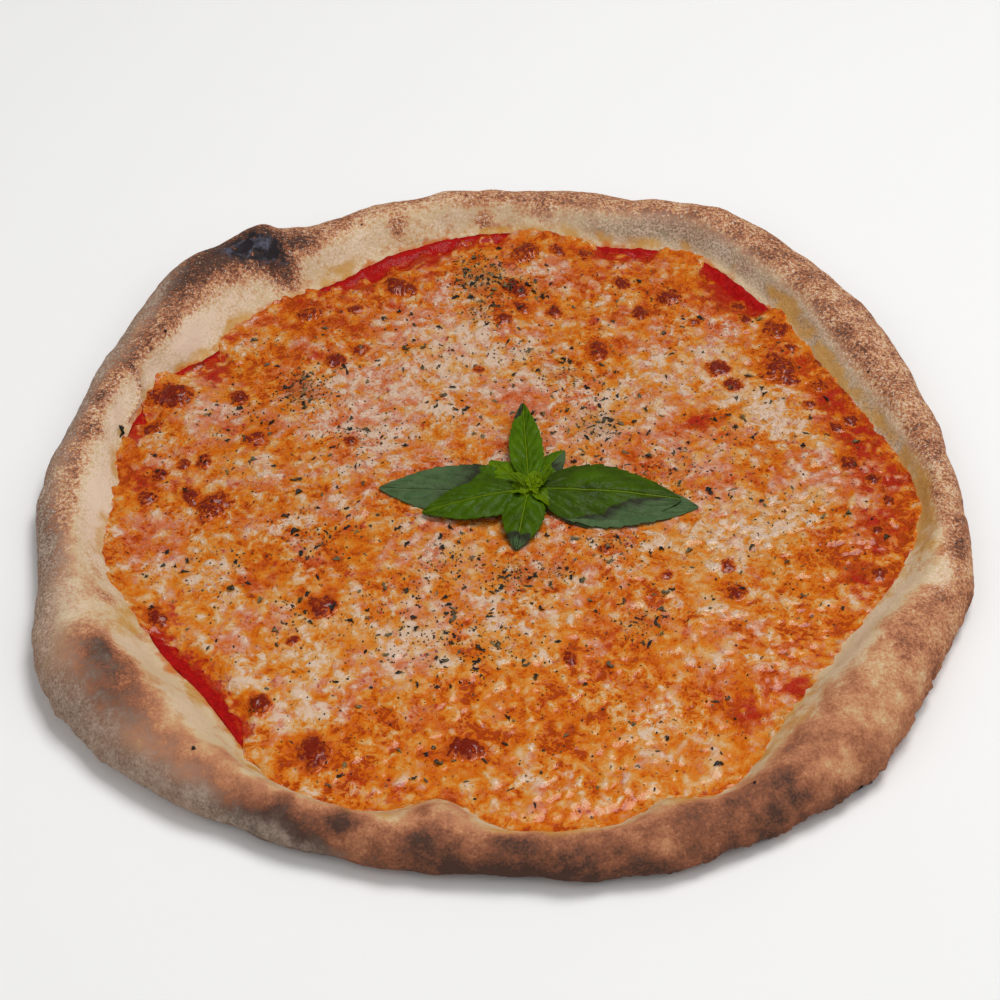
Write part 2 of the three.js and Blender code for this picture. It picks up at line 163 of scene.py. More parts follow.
LEAVES = (
    Leaf(-3.5, 52.5, 26, (4, 4.8, 1.6), 3.6, 2, 0.2, 0.25, 4, 0.9, (1.2, 1.1, 0.9, 0.2)),
    Leaf(-5.5, 58.5, 25, (0.5, 0.5, 0.3), -0.4, 0.2, 0.3, 0.2, 5, 0.7, (0, 0, 0, 0)),
    Leaf(176, 52, 22, (3, 0.9, 0.2), -0.5, -1, 0.35, 0.35, 5, 0.6, (0.5, 0.4, 0.4, 0.3)),
    Leaf(195, 38, 16.5, (4, 4.6, 2), 1.4, -0.6, 0.36, 0.6, 6, 0.4),
    Leaf(92.6, 43, 11.4, (4.5, 4, 3), -0.5, 0.5, 0.55, 1.3, 7, 0.28, (0.82, 0.95, 1.2, 1.2)),
    Leaf(260, 26, 14, (4, 4, 0.2), 1.4, 0, 0.4, 1.1, 4, 0.3, (0.82, 0.74, 0.74, 0.8)),
    Leaf(60, 25, 10, (3, 3, 0.5), 0.4, 0, 0.6, 0.3, 4, 0.4, (1.2, 1.2, 0.62, 0.45)),
    Leaf(133, 20, 11, (3, 3.5, 2.4), 0.6, 0, 0.7, 0.4, 4, 0.4),
)


def seeded(seed):
    """A draw between 0 and 1 that is the same every time."""
    state = seed

    def draw():
        nonlocal state
        state = (state * 48271) % 2147483647
        return state / 2147483647

    return draw


def between(low, high, share):
    return low + (high - low) * share


def bell(distance, spread):
    return np.exp(-((distance / spread) ** 2))


def eased(value, low=0.0, high=1.0):
    """0 below low, 1 above high, and a smooth rise between."""
    share = np.clip((value - low) / (high - low), 0, 1)
    return share * share * (3 - 2 * share)


def apart(a, b):
    """The smallest difference between two angles."""
    return np.abs((a - b + 540) % 360 - 180)


def turned(length, angle):
    """x and y at a distance along a direction."""
    return length * np.cos(np.radians(angle)), length * np.sin(np.radians(angle))


def around(stations, angle):
    """A smooth closed curve through even stations, read at an angle."""
    stations = np.asarray(stations, float)
    count = len(stations)
    at = (np.asarray(angle) % 360) * count / 360
    k = np.floor(at).astype(int)
    t = at - k
    a, b, c, d = (stations[(k + step) % count] for step in (-1, 0, 1, 2))
    return b + 0.5 * t * (c - a + t * (2 * a - 5 * b + 4 * c - d + t * (3 * (b - c) + d - a)))


def outside_at(angle):
    return bpy.context.scene.pizza_form.diameter / MM / 2 + around(OUTSIDE_SWAY, angle)


def edge_at(angle):
    """Where the rim meets the toppings."""
    reach = sum(lobe[2] * bell(apart(angle, lobe[0]), lobe[1]) for lobe in LOBES)
    return outside_at(angle) - around(RIM_WIDTH, angle) - reach


@functools.lru_cache(maxsize=None)
def rim_bubbles():
    """The single bubbles and the small random puffs and dents between them."""
    draw = seeded(7)
    puffs = []
    for k in range(PUFF_COUNT):
        angle = 360 / PUFF_COUNT * (k + draw())
        inwards = between(*PUFF_INWARDS, draw())
        spread = between(*PUFF_SPREAD, draw())
        puffs.append((angle, inwards, spread, between(*PUFF_RISE, draw())))
    return (*BUBBLES, *puffs)


def rim_points(angle, station):
    """The crust's skin: station 0 is its foot, 1 the widest level, 2 the crest and 3 the inner edge."""
    outside = outside_at(angle)
    width = around(RIM_WIDTH, angle)
    height = around(RIM_HEIGHT, angle)
    crest = outside - CREST_SHARE * width
    belly = BELLY_SHARE * height
    power = INNER_SLOPE - sum(lobe[3] * bell(apart(angle, lobe[0]), lobe[1]) for lobe in LOBES)
    quarter = np.clip(station - np.floor(np.clip(station, 0, 2)), 0, 1) * math.pi / 2
    cos = np.cos(quarter)
    sin = np.sin(quarter)
    share = quarter / (math.pi / 2)
    wall = station < 1
    slope = station >= 2
    radius = np.where(wall, outside - FOOT_TUCK * (1 - sin), between(crest, outside, cos))
    radius = np.where(slope, between(crest, edge_at(angle), share), radius)
    level = np.where(wall, belly * (1 - cos), between(belly, height, sin))
    level = np.where(slope, between(CHEESE_TOP, height, np.clip(cos, 0, 1) ** power), level)
    lift = 0
    for at, inwards, spread, rise in rim_bubbles():
        aside = np.radians(apart(angle, at)) * outside
        lift = lift + rise * bell(np.hypot(aside, outside - radius - inwards), spread)
    level = level + lift * eased(level, CHEESE_TOP, height)
    return np.stack([*turned(radius, angle), level], axis=-1)


@functools.lru_cache(maxsize=None)
def form_middle():
    """The middle of the rim's box, which the frame has at its origin."""
    angle = 360 / RIM_STATIONS * np.arange(RIM_STATIONS)
    x, y = turned(outside_at(angle), angle)
    return np.array([(x.min() + x.max()) / 2, (y.min() + y.max()) / 2, 0])


def hollow_at(angle, level):
    """How far out the hollow in the dough reaches at a level, less the gap."""
    rise = (level - BASE_TOP) / (CHEESE_TOP - BASE_TOP)
    return edge_at(angle) - TOE * (1 - rise) - 2 * LAYER_GAP


def strips_at(angle):
    """How wide the sauce shows past the cheese."""
    return sum(width * np.exp(-((apart(angle, at) / half) ** 4)) for at, half, width in SAUCE_STRIPS)


def cheese_edge_at(angle):
    return hollow_at(angle, CHEESE_BOTTOM) - strips_at(angle)


def hills_at(x, y):
    """Smooth hills and hollows, the same as in the frame's cheese."""

    def grid_value(i, j):
        wild = np.sin(i * 127.1 + j * 311.7) * 43758.5453
        return 2 * (wild - np.floor(wild)) - 1

    i = np.floor(x)
    j = np.floor(y)
    u, v = (t * t * t * (t * (6 * t - 15) + 10) for t in (x - i, y - j))
    near = between(grid_value(i, j), grid_value(i + 1, j), u)
    far = between(grid_value(i, j + 1), grid_value(i + 1, j + 1), u)
    return between(near, far, v)


def cheese_base_at(x, y):
    """The frame's top of the cheese at a place, before blisters and fine relief."""
    from_edge = cheese_edge_at(np.degrees(np.arctan2(y, x))) - np.hypot(x, y)
    thinned = 1 - EDGE_THINNING * np.exp(-np.maximum(from_edge, 0) / EDGE_ROUND)
    waves = sum(height * hills_at(x / length, y / length) for length, height in WAVES)
    return CHEESE_BOTTOM + (CHEESE_THICKNESS + waves) * thinned


# ---------------------------------------------------------------- lumps, stamps and meshes


def lumps(points, size, seed=0):
    """Smooth noise of about -1 to 1 at points, with lumps of about that size across."""
    place = np.asarray(points, float) / size + 31.7 * seed + 0.37
    cell = np.floor(place).astype(np.int64)
    inner = place - cell
    rise = inner**3 * (inner * (inner * 6 - 15) + 10)
    value = np.zeros(place.shape[:-1])
    for corner in np.ndindex(2, 2, 2):
        x, y, z = np.moveaxis(cell + corner, -1, 0)
        mixed = (x * 73856093) ^ (y * 19349663) ^ (z * 83492791)
        mixed = ((mixed ^ (mixed >> 13)) * 1274126177) & 0x7FFFFFFF
        mixed = ((mixed ^ (mixed >> 15)) * 668265263) & 0x3FFFFFFF
        slope = sum(
            ((mixed >> shift & 1023) / 511.5 - 1) * (inner[..., axis] - corner[axis])
            for axis, shift in enumerate((0, 10, 20))
        )
        weight = np.prod(np.where(corner, rise, 1 - rise), axis=-1)
        value += weight * slope
    return value * 1.5


def rough_lumps(points, size, octaves=3, keep=0.5, seed=0):
    """Lumps with finer lumps on them, each octave half the size and keep times the height."""
    value = 0
    for octave in range(octaves):
        value = value + keep**octave * lumps(points, size / 2**octave, seed + octave)
    return value


def flat_points(x, y):
    return np.stack([x, y, np.zeros_like(x)], axis=-1)


class Relief:
    """A height map over the pizza to stamp shapes into, one value every half millimetre."""

    STEP = 0.5
    HALF = 150

    def __init__(self, values=None):
        self.count = int(2 * self.HALF / self.STEP) + 1
        self.values = np.zeros((self.count, self.count)) if values is None else values

    def grid(self):
        line = np.linspace(-self.HALF, self.HALF, self.count)
        return np.meshgrid(line, line)

    def stamp(self, x, y, reach, shape, blend=np.add):
        """Blends shape(dx, dy) into the square within reach of a place."""
        low_x, low_y = (max(int((v - reach + self.HALF) / self.STEP), 0) for v in (x, y))
        high_x, high_y = (int((v + reach + self.HALF) / self.STEP) + 2 for v in (x, y))
        window = self.values[low_y:high_y, low_x:high_x]
        rows, columns = window.shape
        dx = (low_x + np.arange(columns)) * self.STEP - self.HALF - x
        dy = (low_y + np.arange(rows)) * self.STEP - self.HALF - y
        window[:] = blend(window, shape(dx[None, :], dy[:, None]))

    def at(self, x, y):
        u = np.clip((x + self.HALF) / self.STEP, 0, self.count - 1.001)
        v = np.clip((y + self.HALF) / self.STEP, 0, self.count - 1.001)
        i = u.astype(int)
        j = v.astype(int)
        near = between(self.values[j, i], self.values[j, i + 1], u - i)
        far = between(self.values[j + 1, i], self.values[j + 1, i + 1], u - i)
        return between(near, far, v - j)


def mound(length, width, turn, height=1.0):
    """A smooth oval mound, as a shape to stamp."""
    cos = math.cos(turn)
    sin = math.sin(turn)

    def shape(dx, dy):
        along = (dx * cos + dy * sin) / (length / 2)
        across = (dy * cos - dx * sin) / (width / 2)
        return height * np.clip(1 - along**2 - across**2, 0, 1) ** 1.5

    return shape


def grid_quads(rows, columns, closed=False):
    """Quads between the points of a grid, which closes round on itself along its rows if asked."""
    index = np.arange(rows * columns).reshape(rows, columns)
    here, after = (index, np.roll(index, -1, axis=0)) if closed else (index[:-1], index[1:])
    corners = here[:, :-1], after[:, :-1], after[:, 1:], here[:, 1:]
    return np.stack(corners, axis=-1).reshape(-1, 4)


def border_loop(rows, columns):
    """The points round the edge of a grid, in order."""
    index = np.arange(rows * columns).reshape(rows, columns)
    return np.concatenate([index[:-1, 0], index[-1, :-1], index[:0:-1, -1], index[0, :0:-1]])


def closed_body(grid, below, above):
    """Rings of points closed between a point below the first ring and one above the last."""
    rows, columns = grid.shape[:2]
    points = np.concatenate([grid.reshape(-1, 3), [below, above]])
    foot, peak = len(points) - 2, len(points) - 1
    first = columns * np.arange(rows)
    after = np.roll(first, -1)
    fans = [(foot, b, a) for a, b in zip(first, after)]
    fans += [(peak, a, b) for a, b in zip(first + columns - 1, after + columns - 1)]
    return points, [*grid_quads(rows, columns, closed=True).tolist(), *np.array(fans).tolist()]


def thick_sheet(grid, depth):
    """A grid of points as the upper face of a thin body, which reaches down by depth, a vector."""
    rows, columns = grid.shape[:2]
    top = grid.reshape(-1, 3)
    quads = grid_quads(rows, columns)
    loop = border_loop(rows, columns)
    after = np.roll(loop, -1)
    sides = np.stack([after, loop, loop + len(top), after + len(top)], axis=-1)
    faces = [*quads.tolist(), *(quads[:, ::-1] + len(top)).tolist(), *sides.tolist()]
    return np.concatenate([top, top - np.broadcast_to(depth, grid.shape).reshape(-1, 3)]), faces


def linked_object(name, data):
    made = bpy.data.objects.new(name, data)
    bpy.context.scene.collection.objects.link(made)
    return made


def make_piece(name, node, points, faces, material, masks):
    """A smooth piece in metres in the frame's axes, which stands for a node. A mask is a number a point."""
    mesh = bpy.data.meshes.new(name)
    mesh.from_pydata(((points - form_middle()) * MM).tolist(), [], faces)
    mesh.update()
    mesh.shade_smooth()
    for key, values in masks.items():
        layer = mesh.attributes.new(key, "FLOAT", "POINT")
        layer.data.foreach_set("value", np.broadcast_to(values, len(points)).astype(np.float32))
    mesh.materials.append(material)
    piece = linked_object(name, mesh)
    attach(piece, "root")
    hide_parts(node)


class Bundle:
    """Many small bodies gathered into one mesh."""

    def __init__(self):
        self.points = []
        self.faces = []
        self.masks = {}
        self.count = 0

    def add(self, points, faces, **masks):
        self.points.append(points)
        self.faces.extend((np.asarray(face) + self.count).tolist() for face in faces)
        for key, values in masks.items():
            self.masks.setdefault(key, []).append(np.broadcast_to(values, len(points)))
        self.count += len(points)

    def make(self, name, node, material):
        masks = {key: np.concatenate(values) for key, values in self.masks.items()}
        make_piece(name, node, np.concatenate(self.points), self.faces, material, masks)


# ---------------------------------------------------------------- finishes


def paint(red, green, blue):
    """A colour of 0 to 255 as it is seen, as the linear values that a shader takes."""

    def linear(value):
        share = value / 255
        return share / 12.92 if share <= 0.04045 else ((share + 0.055) / 1.055) ** 2.4

    return linear(red), linear(green), linear(blue)


class Finish:
    """One material and short words for the nodes in it."""

    def __init__(self, name):
        self.material = bpy.data.materials.new(name)
        self.material.use_nodes = True
        self.tree = self.material.node_tree
        self.tree.nodes.clear()
        self.place = self.node("ShaderNodeTexCoord").outputs["Object"]

    def node(self, kind, inputs=None, **settings):
        made = self.tree.nodes.new(kind)
        for key, value in settings.items():
            setattr(made, key, value)
        for key, value in (inputs or {}).items():
            if isinstance(value, bpy.types.NodeSocket):
                self.tree.links.new(value, made.inputs[key])
            else:
                made.inputs[key].default_value = value
        return made

    def masks(self, *names):
        return [self.node("ShaderNodeAttribute", attribute_name=name).outputs["Fac"] for name in names]

    def lumps(self, size, detail, distortion=0.0):
        """Noise of about -1 to 1 whose lumps are about size millimetres across."""
        inputs = {"Vector": self.place, "Scale": 1 / (size * MM), "Detail": detail, "Roughness": 0.6}
        noise = self.node("ShaderNodeTexNoise", {**inputs, "Distortion": distortion})
        return self.scaled(noise.outputs["Fac"], 3.2, -1.6)

    def specks(self, size, chance):
        """Dots on some of the cells of a scatter, by a chance for each place."""
        cells = self.node("ShaderNodeTexVoronoi", {"Vector": self.place, "Scale": 1 / (size * MM)})
        random = self.node("ShaderNodeSeparateColor", {"Color": cells.outputs["Color"]})
        dots = self.spread(cells.outputs["Distance"], 0.26, 0.14)
        return self.times(dots, self.math("LESS_THAN", random.outputs["Red"], chance))

    def math(self, operation, *values):
        return self.node("ShaderNodeMath", dict(enumerate(values)), operation=operation).outputs[0]

    def times(self, first, second):
        return self.math("MULTIPLY", first, second)

    def scaled(self, value, factor, offset=0.0):
        return self.math("MULTIPLY_ADD", value, factor, offset)

    def total(self, first, *pairs):
        """A value plus each next one times its factor."""
        for value, factor in pairs:
            first = self.math("MULTIPLY_ADD", value, factor, first)
        return first

    def spread(self, value, low, high, to_low=0.0, to_high=1.0):
        """The value stretched from one range to another, and held at its ends."""
        inputs = {"Value": value, "From Min": low, "From Max": high, "To Min": to_low, "To Max": to_high}
        return self.node("ShaderNodeMapRange", inputs, interpolation_type="SMOOTHSTEP").outputs["Result"]

    def ramp(self, value, stops):
        stops = tuple(stops)
        made = self.node("ShaderNodeValToRGB", {"Fac": value})
        elements = made.color_ramp.elements
        while len(elements) < len(stops):
            elements.new(1.0)
        for element, (position, color) in zip(elements, stops):
            element.position = position
            element.color = (*color, 1.0)
        return made.outputs["Color"]

    def mix(self, factor, *colors):
        """Two colours mixed by a factor. Each colour is a socket or a fixed one."""
        first, second = (c if isinstance(c, bpy.types.NodeSocket) else (*c, 1.0) for c in colors)
        return self.node("ShaderNodeMix", {0: factor, 6: first, 7: second}, data_type="RGBA").outputs[2]

    def bump(self, height, distance, strength, normal=None):
        inputs = {"Height": height, "Distance": distance * MM, "Strength": strength}
        if normal:
            inputs["Normal"] = normal
        return self.node("ShaderNodeBump", inputs).outputs["Normal"]

    def surface(self, color, roughness, normal, **fixed):
        """Ends the material in one shader. fixed holds the sockets that are the same all over."""
        inputs = {"Base Color": color, "Roughness": roughness, "Normal": normal}
        inputs.update({key.replace("_", " "): value for key, value in fixed.items()})
        shader = self.node("ShaderNodeBsdfPrincipled", inputs)
        self.node("ShaderNodeOutputMaterial", {"Surface": shader.outputs["BSDF"]})
        return self.material


def color_property(name, description, *color):
    return FloatVectorProperty(
        name=name, description=description, default=paint(*color), subtype="COLOR", min=0, max=1
    )


def length_property(name, description, default):
    return FloatProperty(
        name=name, description=description, default=default, unit="LENGTH", subtype="DISTANCE"
    )


# ---------------------------------------------------------------- crust


class PizzaForm(bpy.types.PropertyGroup):
    diameter: length_property("Diameter", "Across the rim, on average", 0.320)


class PizzaCrust(bpy.types.PropertyGroup):
    rows: IntProperty(name="Rows", description="Points of the mesh round the rim", default=1300)
    flour: color_property("Flour", "Grains of pale flour", 230, 204, 180)
    doughy: color_property("Doughy", "Dough that has not browned at all", 210, 184, 146)
    cream: color_property("Cream", "Dough that has hardly browned", 204, 160, 116)
    tan: color_property("Tan", "Golden baked dough", 191, 129, 92)
    brown: color_property("Brown", "Well baked dough", 148, 92, 66)
    dark: color_property("Dark", "Scorched dough", 82, 58, 49)
    soot: color_property("Soot", "Burnt black dough", 42, 37, 40)
    # Painted glint: bluish grey highlights on the ridges of the burnt folds.
    char: color_property("Char", "Bluish ridges of burnt dough", 92, 92, 106)
    oil: color_property("Oil", "Dough soaked with yellow oil", 196, 142, 56)
    stain: color_property("Stain", "Dough stained by the sauce", 198, 106, 34)
    # Ash: grey-brown ash on the crust, partly painted shade where it darkens the outer wall.
    ash_and_shade: color_property("Ash", "Ashy flour on the outer wall", 88, 74, 66)


# How dark the outer wall is baked, and the station at which the browning ends, at 24 even stations.
BAKE = (
    0.45, 0.46, 0.45, 0.44, 0.43, 0.4, 0.4, 0.42, 0.48, 0.5, 0.55, 0.58, 0.5, 0.5, 0.38, 0.38, 0.45,
    0.5, 0.55, 0.55, 0.45, 0.35, 0.33, 0.38,
)
BAKE_END = (
    2.6, 2.5, 2.6, 2.45, 2.45, 2.4, 2.3, 2.15, 2.3, 2.4, 2.4, 2.35, 2.2, 2.05, 2.3, 2.1, 2.0, 2.1, 2.15,
    2.25, 2.5, 2.6, 2.3, 2.0,
)
# Darker baked patches: angle, station, half lengths in degrees and stations, and strength.
BAKED_PATCHES = (
    (127.5, 2.45, 2.6, 0.36, 0.8), (134, 1.8, 6, 0.34, 0.6), (122.5, 2.05, 2.2, 0.2, 0.5),
    (129, 2.15, 4, 0.4, 0.3), (142, 1.8, 4, 0.2, 0.2), (151, 2.2, 3, 0.3, 0.15),
    (165, 2.0, 1.4, 0.3, 0.35), (171, 2.35, 1.2, 0.3, 0.3), (190, 1.5, 5, 0.3, 0.3),
    (186, 2.05, 2, 0.15, 0.2), (203, 2.5, 1.5, 0.2, 0.35), (218, 1.75, 5, 0.4, 0.45),
    (213, 2.05, 1.8, 0.2, 0.4), (216.5, 2.35, 2, 0.15, 0.25), (228, 1.3, 5, 0.2, 0.2),
    (244, 1.2, 5, 0.4, 0.8), (244.5, 2.1, 1, 0.35, 0.35), (251.5, 1.85, 1.8, 0.35, 0.5),
    (260.5, 2.45, 1.3, 0.3, 0.35), (262, 1.6, 3, 0.25, 0.35), (270, 1.8, 3, 0.3, 0.35),
    (279, 1.6, 3, 0.35, 0.2), (268, 1.1, 12, 0.3, 0.3), (296, 1.6, 3, 0.4, 0.3),
    (302, 1.5, 3.5, 0.35, 0.5), (302, 1.9, 5, 0.2, 0.2), (327.5, 1.7, 1.5, 0.12, 0.3),
    (348, 1.7, 3, 0.2, 0.3), (5, 1.85, 4, 0.2, 0.2), (52, 2.68, 1.6, 0.12, 0.35),
    (51, 2.35, 2, 0.2, 0.2), (42.5, 2.05, 1, 0.25, 0.25), (62, 2.2, 3, 0.25, 0.15),
    (84, 2.45, 1.5, 0.25, 0.35), (93, 2.7, 1.2, 0.18, 0.5), (106.5, 2.42, 1.2, 0.22, 0.45),
    (122, 2.3, 1.5, 0.15, 0.15), (31, 2.15, 3, 0.2, 0.15), (270, 2.7, 26, 0.5, 0.2),
)
# Burnt black spots, in the same way.
CHARRED = ((128.3, 2.1, 2.4, 0.24, 1.0), (130.8, 1.95, 2.2, 0.22, 0.75), (126, 2.3, 1.4, 0.18, 0.4),
           (133.5, 1.85, 2.5, 0.15, 0.35))
# Dough soaked with oil from the toppings.
OILED = (
    (14, 2.68, 5, 0.16, 0.9), (38, 2.72, 8, 0.2, 0.9), (25, 2.85, 5, 0.2, 1.0), (2, 2.75, 5, 0.35, 1.0),
    (353, 2.65, 5, 0.35, 0.9), (347, 2.3, 2, 0.4, 0.5), (68, 2.78, 5, 0.15, 0.5),
    (80, 2.75, 5, 0.18, 0.5), (93, 2.9, 6, 0.1, 0.4), (116, 2.85, 5, 0.15, 0.4),
    (139, 2.9, 5, 0.1, 0.5), (148, 2.45, 2, 0.12, 0.4), (188, 2.7, 3, 0.25, 0.5),
    (193, 2.4, 4, 0.25, 0.3), (207, 2.5, 3, 0.3, 0.8), (198, 2.2, 3, 0.2, 0.3), (236, 2.8, 4, 0.2, 0.6),
    (255, 2.2, 5, 0.25, 0.6), (277, 2.3, 6, 0.35, 0.8), (293, 2.65, 4, 0.35, 0.8),
    (269, 2.2, 2, 0.2, 0.4), (308, 2.7, 3, 0.25, 0.6), (313, 2.5, 3, 0.15, 0.4),
    (326, 2.7, 2, 0.2, 0.4),
)
# Pale dough with flour on it.
FLOURED = (
    (165, 2.55, 5, 0.2, 0.8), (157, 2.75, 3, 0.12, 0.6), (149, 2.7, 7, 0.22, 1.0),
    (190, 2.6, 8, 0.3, 0.5), (182, 2.55, 4, 0.25, 0.8), (212, 2.55, 3, 0.35, 0.9),
    (226, 2.45, 4, 0.35, 0.9), (182, 2.7, 16, 0.4, 0.7), (335, 2.7, 8, 0.22, 0.8),
    (322, 2.45, 5, 0.25, 0.6), (342, 1.85, 4, 0.15, 0.7), (204, 1.8, 4, 0.4, 0.8),
    (145, 2.45, 6, 0.15, 0.8), (136, 2.6, 4, 0.12, 0.6), (303, 2.35, 3, 0.2, 0.5),
    (115, 2.5, 6, 0.25, 0.7), (56, 2.6, 3, 0.15, 0.6), (12, 2.5, 3, 0.1, 0.5), (35, 2.52, 6, 0.08, 0.6),
    (147, 2.6, 3, 0.2, 0.5), (138, 2.75, 4, 0.12, 0.4), (99, 2.6, 3, 0.2, 0.5),
)
# Ash flecked with flour, on the outer wall and the inner slope. Its grey-brown on the outer wall is partly
# painted shade.
ASH_AND_SHADE = (
    (165, 1.4, 22, 0.4, 0.8), (209, 1.15, 26, 0.6, 0.85), (228, 1.0, 14, 0.5, 0.5),
    (240, 1.0, 14, 0.3, 0.5), (148, 1.5, 8, 0.2, 0.4), (198, 1.8, 8, 0.5, 0.35),
    (40, 2.7, 16, 0.28, 0.8), (12, 2.75, 14, 0.26, 0.8), (68, 2.55, 14, 0.35, 0.85),
)
# A torn lip of dough on the left inner slope, as angle and station along it.
TORN_LIP = ((158, 2.15), (158.3, 2.45), (159.3, 2.65), (161.5, 2.78), (165.5, 2.9))
TORN_LIP_HEIGHT = 0.9
LIP_DEGREE = 2.4  # millimetres a degree, about, where it lies
LIP_STATION = 17  # and a station
CRUST_STEPS = (18, 24, 25)  # of the mesh up its outer wall, over to its crest and down its inner slope
CRUST_LUMPS = ((17, 1.2), (8, 0.5), (2.6, 0.15))  # size and height of each scale of unevenness
WRINKLE_HEIGHT = 0.8  # of the folds in the charred skin


def patches_at(angle, station, patches):
    """How much of the patches is at each place, softened at their edges."""
    value = 0
    for at, level, half_angle, half_level, strength in patches:
        distance = np.hypot(apart(angle, at) / half_angle, (station - level) / half_level)
        value = value + strength * np.exp(-0.7 * distance**2.4)
    return value


def rim_normals(angle, station):
    """Which way the plain skin of the crust faces."""
    along = rim_points(angle + 0.1, station) - rim_points(angle - 0.1, station)
    up = rim_points(angle, np.minimum(station + 0.01, 3)) - rim_points(angle, np.maximum(station - 0.01, 0))
    normal = np.cross(along, up)
    return normal / np.linalg.norm(normal, axis=-1, keepdims=True)


def crust_skin(angle, station):
    """The crust's skin as it is seen, with its unevenness, and the way it faces."""
    skin = rim_points(angle, station)
    normal = rim_normals(angle, station)
    height = sum(rise * lumps(skin, size, seed) for seed, (size, rise) in enumerate(CRUST_LUMPS))
    ragged = bell(apart(angle, 312), 28) + 0.6 * bell(apart(angle, 220), 16)
    ragged = ragged * eased(1.5 - station, 0, 0.8)
    height = height + ragged * 1.5 * rough_lumps(skin, 6, 3, 0.7, seed=9)
    height = height + WRINKLE_HEIGHT * np.clip(patches_at(angle, station, CHARRED), 0, 1) * folds_at(skin)
    lip, side = lip_distance(angle, station)
    height = height + TORN_LIP_HEIGHT * np.where(side > 0, bell(lip, 2.6), bell(lip, 0.7))
    height = height * eased(station, 0.05, 0.5) * (1 - 0.6 * eased(station, 2.85, 3.0))
    skin = skin + normal * height[..., None]
    skin[..., 2] = np.maximum(skin[..., 2], 0)
    return skin, normal


def folds_at(skin):
    """The folds of the charred skin, from -1 in between to 1 along their ridges."""
    bent = skin + 3 * rough_lumps(skin, 8, 2, seed=12)[..., None]
    return 1 - 2 * np.abs(lumps(bent, 5.5, seed=11))


def lip_distance(angle, station):
    """How far each place is from the torn lip, in millimetres, and which side of it the place is on."""
    nearest = np.full(np.shape(angle), 1e3)
    side = np.zeros(np.shape(angle))
    for (a, s), (b, t) in zip(TORN_LIP, TORN_LIP[1:]):
        step = np.array([(b - a) * LIP_DEGREE, (t - s) * LIP_STATION])
        x = (angle - a) * LIP_DEGREE
        y = (station - s) * LIP_STATION
        share = np.clip((x * step[0] + y * step[1]) / (step @ step), 0, 1)
        distance = np.hypot(x - share * step[0], y - share * step[1])
        turn = np.sign(step[0] * y - step[1] * x)
        side = np.where(distance < nearest, turn, side)
        nearest = np.minimum(distance, nearest)
    return nearest, side


def crust_finish(look):
    finish = Finish("baked_dough")
    toast, char, oil, flour, ash_and_shade, stain, grit, fold = finish.masks(
        "toast", "char", "oil", "flour", "ash_and_shade", "stain", "grit", "fold"
    )
    dust = finish.times(finish.lumps(0.75, 1), grit)
    grain = finish.times(finish.lumps(1.1, 2), grit)
    small = finish.times(finish.lumps(2, 0), grit)
    medium = finish.lumps(4.5, 1)
    broad = finish.lumps(12, 1)
    speckle = finish.times(finish.total(grain, (dust, 0.85)), finish.spread(toast, 0.0, 0.45, 0.45, 1.0))
    baked = finish.total(toast, (broad, 0.24), (medium, 0.15), (small, 0.1), (speckle, 0.5), (flour, -0.2))
    stops = (0.0, look.doughy), (0.14, look.cream), (0.34, look.tan), (0.62, look.brown), (0.97, look.dark)
    color = finish.ramp(baked, stops)
    grains = finish.times(dust, finish.spread(toast, 0.0, 0.3, 0.7, 1.0))
    pale = finish.total(grains, (flour, 0.6), (grain, -0.4), (toast, -0.4), (medium, -0.1), (broad, -0.2))
    pale = finish.times(finish.spread(pale, 0.1, 0.6), finish.spread(grit, 0.5, 1.0, 0.4, 0.9))
    color = finish.mix(pale, color, look.flour)
    # Grey-brown ash flecked with flour: partly ash, partly painted shade on the outer wall.
    ash_and_shade_share = finish.total(ash_and_shade, (grain, 0.15), (medium, 0.15), (broad, 0.2))
    flecks = finish.total(dust, (grain, 1.0), (medium, 0.3), (broad, 0.3))
    dust_and_shade = finish.mix(finish.spread(flecks, -0.8, 0.8, 0.0, 0.75), look.ash_and_shade, look.flour)
    color = finish.mix(finish.spread(ash_and_shade_share, 0.1, 1.1, 0.0, 0.8), color, dust_and_shade)
    pooled = finish.total(1.0, (finish.lumps(11, 2), 0.9), (medium, 0.35), (grain, 0.2), (dust, 0.2))
    soaked = finish.spread(finish.times(oil, pooled), 0.25, 1.1, 0.0, 0.75)
    color = finish.mix(soaked, color, look.oil)
    stained = finish.spread(finish.total(stain, (medium, 0.3), (small, 0.2)), 0.2, 1.2, 0.0, 0.9)
    color = finish.mix(stained, color, look.stain)
    patchy = finish.total(1.0, (medium, 0.35), (small, 0.35), (grain, 0.3))
    burnt = finish.spread(finish.times(char, patchy), 0.2, 0.9)
    # Painted highlight: the fold ridges in the burnt patches get a bluish grey glint over the black soot.
    ridge_glint = finish.spread(finish.total(fold, (grain, 0.3)), 0.5, 1.1, 0.0, 0.9)
    color = finish.mix(burnt, color, finish.mix(ridge_glint, look.soot, look.char))
    roughness = finish.total(0.85, (soaked, -0.3), (burnt, -0.3))
    normal = finish.bump(grain, 0.1, 0.5)
    normal = finish.bump(finish.lumps(2.5, 2), 0.18, 0.4, normal)
    return finish.surface(color, roughness, normal, Specular_IOR_Level=0.1)


